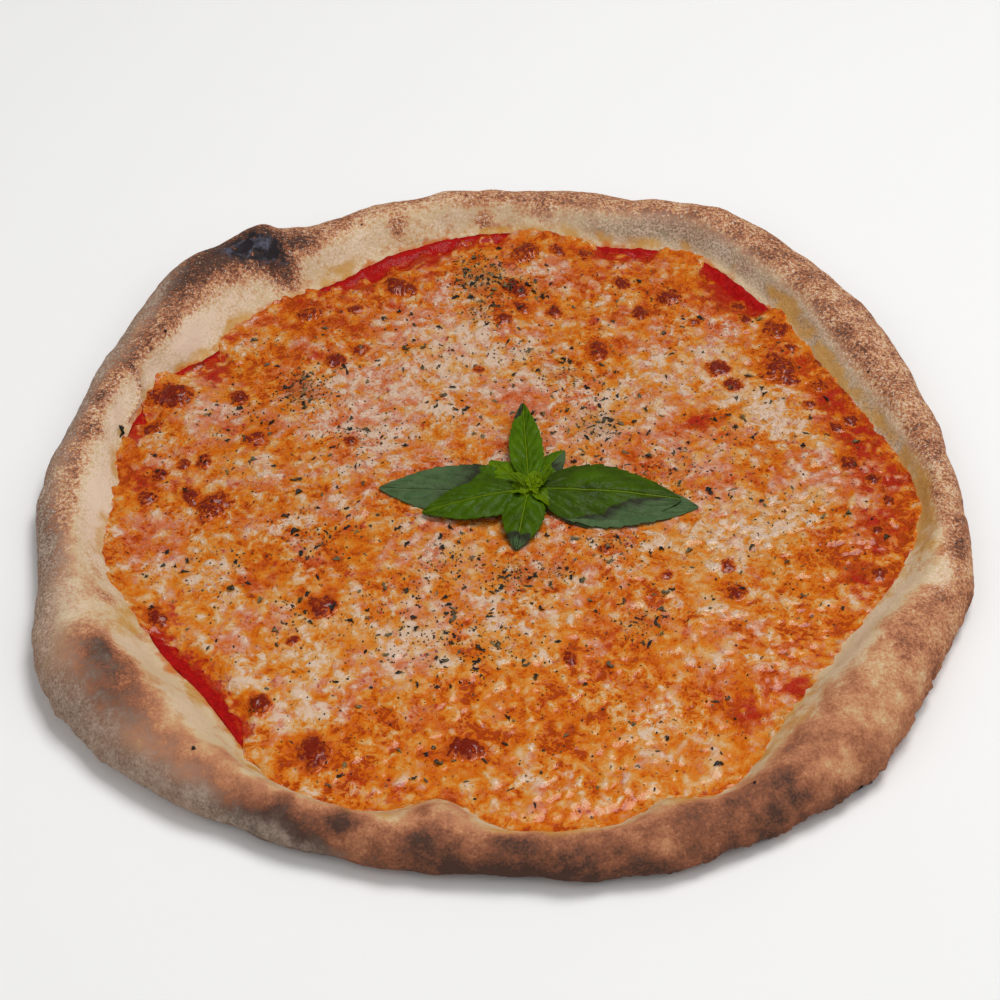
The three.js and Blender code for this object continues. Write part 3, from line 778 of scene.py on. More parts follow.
class PIZZA_OT_crust(bpy.types.Operator):
    """Bakes the dough: the base and the puffed, unevenly browned rim"""

    bl_idname = "pizza.crust"
    bl_label = "Bake the crust"

    def execute(self, context):
        look = context.scene.pizza_crust
        steps = [np.linspace(k, k + 1, count + 1)[:-1] for k, count in enumerate(CRUST_STEPS)]
        line = np.append(np.concatenate(steps), len(CRUST_STEPS))
        angle, station = np.meshgrid(360 / look.rows * np.arange(look.rows), line, indexing="ij")
        skin, _ = crust_skin(angle, station)
        skin[:, 0, 2] = 0

        broad = rough_lumps(skin, 11, 3, 0.6, seed=3)
        end = around(BAKE_END, angle)
        toast = around(BAKE, angle) * (1 - eased(station + 0.16 * broad, end - 0.35, end + 0.25))
        toast = toast + patches_at(angle, station, BAKED_PATCHES) + 0.12 * broad
        # Darker down the outer wall towards its foot: partly browning, partly painted shade on the lower
        # wall.
        toast = toast + 0.35 * eased(1.5 - station, 0, 1.0)
        patchy = rough_lumps(skin, 9, 3, 0.6, seed=5)
        soak = between(0.05, 1.0, eased(rough_lumps(skin, 14, 2, 0.6, seed=6), -0.25, 0.4))
        oil = patches_at(angle, station, OILED) + soak * eased(station + 0.12 * patchy, 2.5, 3.0)
        stain = eased(station + 0.1 * patchy, 2.86, 3.06) * between(0.5, 1, eased(patchy, -0.4, 0.3))
        lip, _ = lip_distance(angle, station)
        toe_x, toe_y = turned(edge_at(angle[:, :1]) - TOE, angle[:, :1])
        toe = np.stack([toe_x, toe_y, np.full_like(toe_x, BASE_TOP)], axis=-1)
        points, faces = closed_body(np.concatenate([skin, toe], axis=1), (0, 0, 0), (0, 0, BASE_TOP))

        def mask(values, underside, at_toe=0.0):
            rings = np.concatenate([values, np.full((look.rows, 1), at_toe)], axis=1)
            return np.append(rings, [underside, at_toe])

        masks = {
            "toast": mask(toast + 0.5 * bell(lip, 1.3), 0.6),
            "char": mask(patches_at(angle, station, CHARRED), 0.0),
            "oil": mask(oil, 0.0, 1.0),
            "flour": mask(patches_at(angle, station, FLOURED), 0.3),
            "ash_and_shade": mask(patches_at(angle, station, ASH_AND_SHADE), 0.2),
            "stain": mask(stain, 0.0, 1.0),
            "grit": mask(between(0.3, 1.1, eased(skin[..., 1], -130, 10)), 0.5),
            "fold": mask(folds_at(skin), 0.0),
        }
        make_piece("crust", "dough", points, faces, crust_finish(look), masks)
        return {"FINISHED"}


# ---------------------------------------------------------------- sauce


class PizzaSauce(bpy.types.PropertyGroup):
    rows: IntProperty(name="Rows", description="Points of the mesh round the sauce", default=720)
    oiled: color_property("Oiled", "Sauce mixed with the oil of the cheese", 186, 60, 14)
    bright: color_property("Bright", "Fresh red of the sauce", 180, 18, 14)
    deep: color_property("Deep", "Deep red in its hollows", 130, 5, 7)
    pulp_size: length_property("Pulp size", "Lumps of tomato pulp", 0.0026)


SAUCE_RINGS = (0.3, 0.6, 0.8)  # shares of the radius that lie under the cheese
SAUCE_FINE_RINGS = 30  # from there out to the edge
SAUCE_RELIEF = 0.5
SAUCE_CLIMB = 1.7  # how far it stands up against the dough
SAUCE_SLOPE = 7
SAUCE_FOOT = 2  # how far its underside stays in from its edge
CONTACT = 0.2  # how far the layers stop short of the dough's inner edge, which is within its slope


def sauce_top_at(x, y):
    """The top of the sauce, uneven with pulp and standing up a little against the dough."""
    look = bpy.context.scene.pizza_sauce
    edge = edge_at(np.degrees(np.arctan2(y, x))) - CONTACT
    pulp = rough_lumps(flat_points(x, y), look.pulp_size / MM * 2, 3, 0.6, seed=21)
    return SAUCE_TOP + SAUCE_RELIEF * pulp + SAUCE_CLIMB * eased(np.hypot(x, y), edge - SAUCE_SLOPE, edge)


def sauce_finish(look):
    finish = Finish("tomato_sauce")
    fine = finish.lumps(0.8, 1)
    medium = finish.lumps(2.4, 2, 0.4)
    tone = finish.total(0.5, (medium, 0.4), (fine, 0.25))
    color = finish.ramp(tone, [(0.0, look.deep), (0.8, look.bright)])
    oily = finish.total(*finish.masks("oily"), (finish.lumps(3, 4, 1.0), 0.7))
    color = finish.mix(finish.spread(oily, 0.8, 1.4, 0.0, 0.85), color, look.oiled)
    normal = finish.bump(fine, 0.2, 0.7)
    normal = finish.bump(medium, 0.4, 0.4, normal)
    return finish.surface(
        color, 0.45, normal, Specular_IOR_Level=0.05, Coat_Weight=0.05, Coat_Roughness=0.08
    )


class PIZZA_OT_sauce(bpy.types.Operator):
    """Spreads the tomato sauce, which shows past the cheese in strips along the rim"""

    bl_idname = "pizza.sauce"
    bl_label = "Spread the sauce"

    def execute(self, context):
        look = context.scene.pizza_sauce
        angle = 360 / look.rows * np.arange(look.rows)
        shares = np.concatenate([SAUCE_RINGS, np.linspace(SAUCE_RINGS[-1], 1, SAUCE_FINE_RINGS)[1:]])
        edge = edge_at(angle) - CONTACT
        radius = edge[:, None] * shares[None, :]
        x, y = turned(radius, angle[:, None])
        under = np.stack([*turned(edge - SAUCE_FOOT, angle), np.full(look.rows, SAUCE_BOTTOM)], axis=-1)
        grid = np.concatenate([np.stack([x, y, sauce_top_at(x, y)], axis=-1), under[:, None]], axis=1)
        points, faces = closed_body(grid[:, ::-1], (0, 0, SAUCE_BOTTOM), (0, 0, SAUCE_TOP))
        x, y, _ = points.T
        past = np.hypot(x, y) - melted_edge_at(np.degrees(np.arctan2(y, x)))
        make_piece("sauce", "tomato_sauce", points, faces, sauce_finish(look), {"oily": bell(past, 2.5)})
        return {"FINISHED"}


# ---------------------------------------------------------------- cheese


class PizzaCheese(bpy.types.PropertyGroup):
    cells: IntProperty(name="Cells", description="Cells of the mesh across the cheese", default=306)
    variety: FloatProperty(name="Variety", description="How uneven the mottling is", default=1.0)
    beads: IntProperty(name="Beads", description="How many small pale lumps show", default=620)
    ember: color_property("Ember", "Brown oil between the cheese", 166, 60, 0)
    amber: color_property("Amber", "Deep orange oil", 204, 94, 0)
    gold: color_property("Gold", "Golden oil over cheese", 212, 118, 18)
    butter: color_property("Butter", "Yellow melted cheese", 214, 142, 60)
    cream: color_property("Cream", "Pale yellow cheese", 213, 168, 114)
    milk: color_property("Milk", "The palest cheese", 219, 188, 162)
    brick: color_property("Brick", "Red brown oil between the cheese", 150, 34, 2)
    coral: color_property("Coral", "Red orange oil", 184, 66, 10)
    peach: color_property("Peach", "Cheese under red orange oil", 202, 102, 50)
    rose: color_property("Rose", "Cheese tinted by the sauce", 206, 127, 90)
    blush: color_property("Blush", "Pale pink cheese", 211, 156, 130)
    sauce: color_property("Sauce", "Sauce that shines through", 172, 26, 8)
    seam: color_property("Seam", "Thin lines of oil round the curds", 190, 66, 4)
    rust: color_property("Rust", "Rim of a blister", 196, 86, 8)
    maroon: color_property("Maroon", "Browned blister", 116, 22, 4)
    # Painted sheen: the sky reflected in a mauve tint on the tops of the blisters.
    blister_sheen: color_property("Mauve", "Dull skin on top of a blister", 140, 84, 76)
    stale: color_property("Stale", "Cheese tinted by the herbs on it", 152, 106, 62)
    speck: color_property("Speck", "Dust of the herbs", 46, 36, 24)


# Paler cheese, or below 0 oilier: x, y, size and strength.
TONES = (
    (-35, 60, 17, 1.0), (-16, 74, 13, 0.9), (-22, 50, 10, 0.6), (-4, 72, 9, 0.6), (59, 60, 9, 1.5),
    (46, 43, 9, 1.0), (34, 30, 8, 0.6), (72, 72, 11, 0.8), (74, 56, 8, 0.6), (-108, 42, 9, 0.9),
    (-70, 42, 8, 0.4), (-60, 55, 8, 0.5), (-86, 12, 6, 1.0), (-117, -38, 8, 1.3), (-100, -33, 8, 0.9),
    (-98, -58, 11, 0.5), (-70, -98, 11, 0.8), (-86, -76, 10, 0.3), (80, -22, 10, 0.8),
    (91, -14, 7, 0.8), (66, -26, 8, 0.7), (2, 56, 9, 0.4), (-12, 30, 12, 0.3), (-40, 34, 12, 0.7),
    (20, 44, 9, 0.4), (-70, -8, 9, 0.4), (-46, 21, 7, 0.4), (-22, 96, 7, 0.5), (2, -62, 12, 0.4),
    (-28, -62, 12, 0.4), (-34, -78, 12, 0.4), (-60, -78, 12, 0.4), (96, 40, 12, 0.7), (-98, 5, 7, 0.3),
    (-50, -50, 9, 0.3), (30, -70, 10, -0.4), (124, -28, 12, -0.6), (62, -110, 10, 0.4),
    (5, -122, 6, 0.5), (62, -94, 26, -0.4), (10, -116, 26, -0.4), (108, 20, 9, 0.3), (-60, 74, 6, 0.3),
    (18, 8, 10, 0.3), (-50, -24, 13, -1.0), (-74, -32, 12, -0.7), (-88, -8, 8, -0.5),
    (32, 74, 10, -0.8), (46, 90, 9, -0.6), (34, 108, 9, -0.6), (100, -34, 12, -1.2),
    (112, -22, 10, -0.9), (84, -52, 12, -0.5), (122, -36, 10, -1.0), (50, -44, 10, -1.0),
    (34, -58, 10, -1.0), (54, -62, 9, -0.8), (40, -78, 10, -0.8), (72, -92, 12, -0.6),
    (22, -100, 15, -1.3), (-12, -108, 13, -1.3), (-42, -112, 14, -1.5), (-12, -84, 9, -0.8),
    (-30, -100, 9, -0.8), (88, -72, 11, -0.6), (-62, 84, 9, -1.3), (-76, 66, 9, -0.9),
    (-82, 52, 8, -1.1), (-92, 60, 8, -0.6), (-72, 98, 9, -1.4), (-46, 105, 8, -1.1), (-90, 28, 6, -1.2),
    (-102, -5, 7, -1.3), (-124, 50, 7, -0.8), (5, 100, 9, -1.0), (22, 102, 7, -0.6),
    (60, 104, 10, -0.6), (84, 108, 12, -1.4), (98, 92, 9, -1.0), (85, -25, 22, 0.35), (98, 40, 13, 0.4),
    (102, 64, 9, -1.3), (118, 50, 9, -1.0), (126, 28, 10, -1.0), (134, 4, 10, -0.9),
    (132, -18, 9, -1.0), (-24, 46, 3.5, -1.0), (72, 34, 7, -0.9), (78, 38, 6, -0.3),
    (-130, 10, 9, -1.0), (-122, -8, 7, -0.6), (-60, -50, 7, -1.3), (-116, -62, 8, -0.9),
    (46, 18, 8, -0.5), (10, -32, 9, -0.4), (-36, -40, 8, -0.6), (-62, -114, 8, -1.3),
    (-80, -94, 6, -0.8), (105, -62, 8, -0.6), (-14, 122, 10, -0.8), (28, 126, 9, -0.8),
    (50, 10, 10, -0.4), (-26, 14, 9, -0.4), (-70, 20, 7, -0.3), (88, 8, 9, -0.4), (40, 60, 6, -0.4),
)
# Where the sauce shines through, and where the cheese is pink from it.
REDS = (
    (70, 37, 4, 1.0), (66, 31, 5, 0.4), (-104, 62, 4.5, 1.2), (-106, 57, 4, 1.0), (-41, 99, 4.5, 0.7),
    (40, -62, 3.5, 0.9), (34, -68, 3, 0.8), (48, -55, 4, 0.4), (-50, -38, 4, 0.4), (-113, -58, 6, 0.7),
    (-106, -46, 5, 0.4), (-126, 8, 7, 0.8), (-124, -12, 6, 0.6), (-97, 34, 4, 0.5), (-92, 96, 6, 0.7),
    (-103, 80, 6, 0.8), (-30, 122, 10, 0.9), (2, 124, 7, 0.5), (40, 120, 9, 0.6), (30, 129, 6, 0.5),
    (52, 116, 5, 0.5), (86, 104, 10, 0.7), (66, 102, 6, 0.6), (106, 66, 8, 1.0), (118, 46, 9, 1.1),
    (127, 27, 10, 1.1), (131, 6, 10, 1.1), (129, -16, 10, 1.0), (120, -42, 8, 0.9), (106, -72, 6, 0.6),
    (95, -86, 6, 0.9), (80, -98, 7, 0.9), (12, -92, 2.5, 0.8), (-34, -128, 6, 0.6), (-66, 70, 7, 0.5),
    (60, 22, 7, 0.3), (-54, 84, 6, 0.5), (22, -76, 4, 0.5), (-58, 92, 6, 0.4), (100, 18, 8, 0.5),
    (-76, 96, 6, 0.6), (101, 60, 6, 0.5), (-130, 28, 6, 0.6),
)
BLUSHES = (
    (3, 48, 9, 0.9), (58, 30, 10, 0.6), (-108, 38, 10, 0.9), (-94, 84, 8, 0.6), (80, 88, 8, 0.5),
    (85, -20, 26, -0.4), (95, 40, 14, -0.4), (20, -100, 32, -0.4), (-80, 70, 12, -0.2),
    (-50, 46, 14, 0.6), (-36, 88, 11, 0.6), (-116, -24, 9, 0.6), (-120, -14, 7, 0.6),
    (100, -80, 9, 0.7), (82, -94, 9, 0.6), (121, -45, 8, 0.5), (8, -114, 7, 0.5), (124, 2, 7, 0.9),
    (-94, -66, 8, 0.5), (117, 30, 5, 0.8), (122, -24, 6, 0.8), (112, 14, 5, 0.6), (50, 10, 9, 0.5),
    (-22, 100, 10, 0.5), (20, 116, 12, 0.5), (-48, 22, 10, 0.4), (70, 5, 10, 0.4), (-90, -100, 6, 0.4),
    (-30, 122, 6, 0.5), (20, 44, 9, 0.4), (-20, 16, 10, 0.5), (-74, -104, 7, 0.5), (-34, 60, 12, 0.3),
    (-130, 15, 8, 0.5), (72, 34, 8, 0.4), (-90, 66, 12, -0.6), (32, 74, 12, -0.7), (90, 50, 10, -0.5),
    (104, 34, 10, -0.6), (100, -36, 16, -1.0), (60, -40, 12, -0.7), (50, -64, 12, -0.7),
    (20, -100, 16, -0.7), (-40, -112, 16, -0.8), (-100, -46, 10, -0.7), (-60, -66, 14, -0.5),
    (-50, -26, 12, -0.6), (40, 104, 10, -0.5), (0, -70, 14, -0.3), (-4, 66, 8, -0.4),
    (-80, -14, 10, -0.4), (60, -108, 12, -0.5), (-44, 104, 6, -0.6), (-10, -84, 10, -0.5),
    (66, -22, 12, -0.5),
)
# Low pale bubbles with a fine oily ring round them: x, y and width.
PALE_BUBBLES = (
    (-86, 11, 13), (-52, 46, 6), (-52, 30, 5), (47, 100, 5), (90, 84, 7), (94, 12, 7), (127, -22, 6),
    (60, 92, 6), (-112, 20, 8), (-70, 68, 6), (97, -7, 8), (26, 101, 5), (-28, 72, 5), (-48, -8, 9),
    (-98, 66, 7), (79, 62, 11),
)
# Where the small pale lumps lie thickest.
BEAD_ZONES = (
    (95, -70, 45, 1.0), (130, -10, 30, 1.0), (30, -120, 40, 0.9), (-50, -115, 30, 0.5),
    (95, 85, 30, 0.4),
)
EDGE_BAND = 7.0  # width of the oilier, redder band along the cheese's edge
CREEP = 0.5  # the share of the sauce's strips that the thin melted edge covers
COVERED = ((89, 8), (150.5, 8), (167, 7))  # middle and half length of each stretch that it covers
LARGE_CURDS = (1500, (6, 10))  # how many, and their widths
SMALL_CURDS = (6400, (2.6, 5))
POOLS = (900, (2.5, 7))
RINGS = (260, (3.5, 7))
BEAD_WIDTHS = (2.2, 4.8)
RING_LINE = 0.6
STIRRED = ((14, 2.4), (5, 1.3), (2.6, 0.6))  # size and reach of the swirls that draw all of these out
CURD_RELIEF = 0.5
BEAD_RELIEF = 0.55
WANDER_RADIUS = 140  # of the circle along which the unevenness of its edge is read
EDGE_WANDER = 3
SINK_WIDTH = 6  # of the band over which it thins out onto the sauce
LIFT_WIDTH = 9  # and of the one over which it rises to meet the dough
CLIMB_RINGS = 6  # rings of the mesh that climb onto the dough
CLIMB = 0.2  # how far they climb, in stations


def melted_edge_at(angle):
    """How far out the cheese runs where sauce shows past it, and elsewhere just its edge in the frame."""
    covered = sum(bell(apart(angle, middle), reach) for middle, reach in COVERED)
    return cheese_edge_at(angle) + strips_at(angle) * between(CREEP, 1, covered)


def spots_at(x, y, spots):
    return sum(strength * bell(np.hypot(x - cx, y - cy), size) for cx, cy, size, strength in spots)


def scattered_places(draw, count, chance=None):
    """Random places on the cheese, kept by a chance that depends on the place."""
    places = []
    while len(places) < count:
        x, y = turned(Relief.HALF * math.sqrt(draw()), 360 * draw())
        if chance is None or draw() < chance(x, y):
            places.append((x, y))
    return places


def stirred(x, y, seed):
    """Places moved along by smooth swirls, so that what is stamped round comes out irregular."""
    flat = flat_points(x, y)
    for size, reach in STIRRED:
        x = x + reach * lumps(flat, size, seed)
        y = y + reach * lumps(flat, size, seed + 1)
    return x, y


def run_together(draw, count, widths):
    """Soft blobs that meet: how near a blob's middle each place is, and two random values of the blob."""
    fullness, tone, hue = Relief(), Relief(), Relief()
    for px, py in scattered_places(draw, count):
        width = between(*widths, draw())
        length = width * between(1, 1.8, draw())
        blob = mound(length, width, math.pi * draw())
        pale = 2 * draw() - 1
        warm = 2 * draw() - 1
        for relief, value in ((fullness, 1), (tone, pale), (hue, warm)):
            relief.stamp(px, py, length / 2, lambda dx, dy, value=value: value * blob(dx, dy) ** 3)
    total = fullness.values + 0.001
    tone.values /= total
    hue.values /= total
    fullness.values = np.cbrt(np.clip(fullness.values, 0, 1))
    return fullness, tone, hue


def blister_maps(draw, ragged):
    """The browned blisters: their rise, how brown they are, and the oily ring round them."""
    rise, toast, halo = Relief(), Relief(), Relief()
    for cx, cy, width in BLISTERS + SMALL_BLISTERS:
        turn = math.pi * draw()
        stretch = between(1.0, 1.35, draw())

        def away(dx, dy):
            along = (dx * math.cos(turn) + dy * math.sin(turn)) / stretch
            across = (dy * math.cos(turn) - dx * math.sin(turn)) * stretch**0.5
            return np.hypot(along, across) / (width / 2) + 0.4 * ragged.at(cx + dx, cy + dy)

        def dome(dx, dy):
            near = np.clip(1 - np.clip(away(dx, dy), 0, 1) ** 2.6, 0, 1)
            return width * BLISTER_RISE * 0.8 * np.sqrt(near)

        def browning(dx, dy):
            return (1 - eased(away(dx, dy), 0.5, 1.8)) * between(0.9, 1.2, turn / math.pi)

        def oily_ring(dx, dy):
            return 1 - eased(away(dx, dy), 1.0, 2.2)

        for relief, shape in ((rise, dome), (toast, browning), (halo, oily_ring)):
            relief.stamp(cx, cy, width * 1.6, shape, np.maximum)
    return rise, toast, halo


def ring_map(draw):
    """Fine rings of oil."""
    rings = Relief()
    for px, py in scattered_places(draw, RINGS[0]):
        size = between(*RINGS[1], draw())
        squash = between(0.6, 1, draw())

        def ring(dx, dy):
            return bell(np.hypot(dx, dy / squash) - size / 2, RING_LINE)

        rings.stamp(px, py, size, ring, np.maximum)
    return rings


def mound_map(draw, places, widths, evenness, stretch):
    """Oval mounds at places, each of its own width, stretch, turn and height."""
    mounds = Relief()
    for px, py in places:
        width = between(*widths, draw() ** evenness)
        length = width * between(1, stretch, draw())
        shape = mound(length, width, math.pi * draw(), between(0.5, 1, draw()))
        mounds.stamp(px, py, width, shape, np.maximum)
    return mounds


@functools.lru_cache(maxsize=None)
def cheese_map():
    """The cheese's relief and its mottling, as height maps that share one grid."""
    look = bpy.context.scene.pizza_cheese
    draw = seeded(31)
    bubbles = Relief()
    x, y = bubbles.grid()
    flat = flat_points(x, y)
    moved = stirred(x, y, 41)
    large, large_tone, large_hue = (relief.at(*moved) for relief in run_together(draw, *LARGE_CURDS))
    small, small_tone, small_hue = (relief.at(*moved) for relief in run_together(draw, *SMALL_CURDS))
    ragged = Relief(rough_lumps(flat, 3.6, 3, 0.7, seed=47))
    rise, toast, halo = (relief.values for relief in blister_maps(draw, ragged))
    rings = ring_map(draw).at(*moved)
    pools = mound_map(draw, scattered_places(draw, POOLS[0]), POOLS[1], 1.5, 2).at(*moved)
    zoned = scattered_places(draw, look.beads, lambda x, y: 0.12 + spots_at(x, y, BEAD_ZONES))
    beads = mound_map(draw, zoned, BEAD_WIDTHS, 1, 1.5).values
    for cx, cy, width in PALE_BUBBLES:
        bubbles.stamp(cx, cy, width / 2, mound(width, width * 0.85, 0.4), np.maximum)

    angle = np.degrees(np.arctan2(y, x))
    from_edge = melted_edge_at(angle) - np.hypot(x, y)
    band = np.exp(-np.clip(from_edge, 0, None) / EDGE_BAND)
    thin = bell(np.clip(from_edge, 0, None), 4.5) * eased(strips_at(angle), 0.5, 2.5)
    fine = rough_lumps(flat_points(*moved), 2.4, 2, 0.7, seed=53)
    broad = rough_lumps(flat, 13, 2, 0.5, seed=43)
    placed = np.tanh(spots_at(x, y, TONES))
    reds = spots_at(x, y, REDS)
    tone = 0.64 + look.variety * (
        0.3 * placed - 0.1 * reds + 0.1 * broad + 0.14 * large_tone + 0.2 * small_tone
        + 0.24 * (small - 0.65) + 0.06 * (large - 0.6) + 0.15 * fine
        - 0.26 * pools - 0.18 * rings - 0.14 * band + 0.26 * beads
    )
    tone = np.where(tone < 0.2, 0.2 + 0.4 * (tone - 0.2), tone)
    pink = (
        0.45 + 0.55 * spots_at(x, y, BLUSHES) + 0.2 * reds + 0.25 * rough_lumps(flat, 17, 2, 0.5, seed=61)
        + 0.25 * large_hue + 0.4 * small_hue
        - 0.5 * pools - 0.3 * rings - 0.4 * halo + 0.1 * fine - 0.3 * band
    )
    red = (
        0.8 * reds + 0.05 * band + 0.9 * thin + 0.35 * fine - 0.5 * small_tone - 0.7 * beads
        - 0.5 * (small - 0.6)
    )
    herbs = np.zeros_like(x)
    for cx, cy, size, weight in HERB_CLUSTERS:
        herbs += min(weight, 1.5) * bell(np.hypot(x - cx, y - cy), size)
    relief = CURD_RELIEF * (0.6 * small + 0.5 * large + 0.3 * small_tone - 0.6 * pools - 0.25 * rings)
    relief = relief * (1 - toast) * (1 - 0.6 * thin) + BEAD_RELIEF * beads + 0.9 * bubbles.values
    relief = np.maximum(relief, rise) + 0.1 * fine + 0.5 * toast * rough_lumps(flat, 1.8, 2, 0.6, seed=59)
    maps = {
        "relief": relief,
        "tone": tone,
        "pink": pink,
        "red": red,
        "toast": toast,
        "wet": pools,
        "herbs": herbs,
        "crisp": between(0.2, 1, eased(y, -110, 10)),
    }
    return {key: Relief(values) for key, values in maps.items()}


def cheese_top_at(x, y):
    """The top of the cheese as it is seen, with its blisters and fine relief."""
    from_edge = melted_edge_at(np.degrees(np.arctan2(y, x))) - np.hypot(x, y)
    return cheese_base_at(x, y) + cheese_map()["relief"].at(x, y) * eased(from_edge, -1.5, 2.5)


def cheese_finish(look):
    finish = Finish("melted_cheese")
    tone, pink, red, toast, wet, herbs, crisp = finish.masks(
        "tone", "pink", "red", "toast", "wet", "herbs", "crisp"
    )
    fine = finish.times(finish.lumps(0.5, 1), crisp)
    small = finish.times(finish.lumps(1.3, 1, 1.0), crisp)
    medium = finish.lumps(2.6, 1, 1.5)
    strand = finish.lumps(4.2, 2, 1.4)
    shred = finish.lumps(2.2, 1.5, 1.2)
    over_curd = finish.total(strand, (tone, 0.5), (1.0, -0.28))
    over_bit = finish.total(shred, (tone, 0.35), (1.0, -0.17))
    busy = finish.spread(finish.lumps(16, 2), -0.7, 0.7, 0.35, 1.4)
    curd, bit = (
        finish.times(finish.spread(over, -0.2, 0.2, -0.5, 0.5), busy) for over in (over_curd, over_bit)
    )
    line, crease = (
        finish.spread(finish.math("ABSOLUTE", over), 0.1, 0.0)
        for over in (finish.total(over_curd, (small, 0.06)), over_bit)
    )
    seam = finish.times(finish.math("MAXIMUM", line, finish.scaled(crease, 0.5)), busy)
    seam = finish.times(seam, finish.scaled(crisp, 0.38))
    tone = finish.total(tone, (curd, 0.28), (bit, 0.18), (medium, 0.14), (small, 0.07), (fine, 0.03))
    stops = (0.0, 0.14, 0.34, 0.57, 0.8, 1.0)
    golden = (look.ember, look.amber, look.gold, look.butter, look.cream, look.milk)
    rosy = (look.brick, look.coral, look.peach, look.rose, look.blush, look.milk)
    pink = finish.spread(finish.total(pink, (medium, 0.2), (shred, 0.35)), 0.15, 0.85)
    color = finish.mix(pink, finish.ramp(tone, zip(stops, golden)), finish.ramp(tone, zip(stops, rosy)))
    color = finish.mix(seam, color, look.seam)
    shine = finish.spread(finish.total(red, (strand, 0.7), (shred, 0.6)), 0.4, 1.3, 0.0, 0.9)
    color = finish.mix(shine, color, look.sauce)
    stale = finish.spread(finish.total(herbs, (small, 0.3)), 0.2, 1.3, 0.0, 0.35)
    color = finish.mix(stale, color, look.stale)
    speck = finish.scaled(finish.specks(1.3, finish.spread(herbs, 0.0, 1.0, 0.05, 0.5)), 0.85)
    color = finish.mix(speck, color, look.speck)
    baked = finish.total(toast, (medium, 0.15), (small, 0.2), (fine, 0.1))
    color = finish.mix(finish.spread(baked, 0.1, 0.6), color, look.rust)
    crinkle = finish.spread(finish.total(baked, (small, 0.45), (medium, 0.3)), 0.5, 1.05, 0.0, 0.97)
    color = finish.mix(crinkle, color, look.maroon)
    # Painted sheen: a mauve reflection of the sky over the brownest tops of the blisters.
    skin = finish.times(finish.spread(baked, 0.8, 1.1), finish.spread(small, 0.1, 0.6))
    color = finish.mix(finish.scaled(skin, 0.25), color, look.blister_sheen)
    roughness = finish.spread(finish.total(tone, (wet, -0.5)), 0.0, 0.9, 0.25, 0.5)
    normal = finish.bump(fine, 0.06, 0.5)
    normal = finish.bump(small, 0.25, 0.6, normal)
    normal = finish.bump(finish.times(over_bit, crisp), 0.5, 0.6, normal)
    normal = finish.bump(over_curd, 0.6, 0.6, normal)
    return finish.surface(
        color, roughness, normal, Specular_IOR_Level=0.06, Coat_Weight=0.3, Coat_Roughness=0.12
    )


def disc_grid(cells):
    """A square grid bent into a unit disc, with rows and columns of even cells."""
    line = np.linspace(-1, 1, cells + 1)
    u, v = np.meshgrid(line, line, indexing="ij")
    wide = np.abs(u) > np.abs(v)
    radius = np.where(wide, u, v)
    with np.errstate(divide="ignore", invalid="ignore"):
        turn = np.where(wide, math.pi / 4 * v / u, math.pi / 2 - math.pi / 4 * u / v)
    turn = np.where(radius == 0, 0, turn)
    return radius * np.cos(turn), radius * np.sin(turn)


class PIZZA_OT_cheese(bpy.types.Operator):
    """Melts the cheese: shreds run together, oil between them and browned blisters"""

    bl_idname = "pizza.cheese"
    bl_label = "Melt the cheese"

    def execute(self, context):
        look = context.scene.pizza_cheese
        u, v = disc_grid(look.cells)
        angle = np.degrees(np.arctan2(v, u))
        share = np.hypot(u, v)
        climb_from = 1 - 2 * CLIMB_RINGS / look.cells
        climbed = np.clip((share - climb_from) / (1 - climb_from), 0, 1)
        ring = flat_points(*turned(WANDER_RADIUS, angle))
        wander = rough_lumps(ring, 9, 3, 0.7, seed=71)
        beyond = eased(strips_at(angle), 0.5, 2.5)
        melted = np.minimum(melted_edge_at(angle) + EDGE_WANDER * wander, edge_at(angle) - 1)
        edge = between(edge_at(angle) - 0.4, melted, beyond)
        x, y = turned(np.minimum(share / climb_from, 1) * edge, angle)
        level = cheese_top_at(x, y)
        climbs = climbed > 0
        station = 3 - CLIMB * np.clip(0.6 + 0.7 * wander[climbs], 0.1, 1.5) * climbed[climbs]
        skin, normal = crust_skin(angle[climbs], station)
        meeting, _ = crust_skin(angle, np.full_like(angle, 3.0))
        sink = beyond * eased(np.hypot(x, y), edge - SINK_WIDTH, edge)
        level = between(level, sauce_top_at(x, y) + 0.1, sink)
        lift = (1 - beyond) * eased(np.hypot(x, y), edge - LIFT_WIDTH, edge)
        level = between(level, np.maximum(level, meeting[..., 2] + 0.3 + 0.4 * wander), lift)
        top = np.stack([x, y, level], axis=-1)
        size = look.cells + 1
        loop = border_loop(size, size)
        rim = top.reshape(-1, 3)[loop].copy()
        rim[:, 2] = SAUCE_BOTTOM
        bulk = cheese_map()["relief"].at(skin[:, 0], skin[:, 1])
        onto = skin + normal * between(0.45 + 0.8 * bulk, -0.35, climbed[climbs] ** 2)[:, None]
        down = top[climbs] - np.outer((level[climbs] - SAUCE_BOTTOM) * climbed[climbs], (0, 0, 1))
        top[climbs] = between(onto, down, beyond[climbs][:, None])
        points = np.concatenate([top.reshape(-1, 3), rim, [[0, 0, SAUCE_BOTTOM]]])
        under = size * size + np.arange(len(loop))
        after = np.roll(under, -1)
        middle = np.full_like(under, len(points) - 1)
        sides = np.stack([np.roll(loop, -1), loop, under, after], axis=-1)
        base = np.stack([middle, after, under], axis=-1)
        faces = [*grid_quads(size, size).tolist(), *sides.tolist(), *base.tolist()]
        masks = {key: values.at(*points.T[:2]) for key, values in cheese_map().items() if key != "relief"}
        make_piece("cheese", "melted_cheese", points, faces, cheese_finish(look), masks)
        return {"FINISHED"}


# ---------------------------------------------------------------- herbs


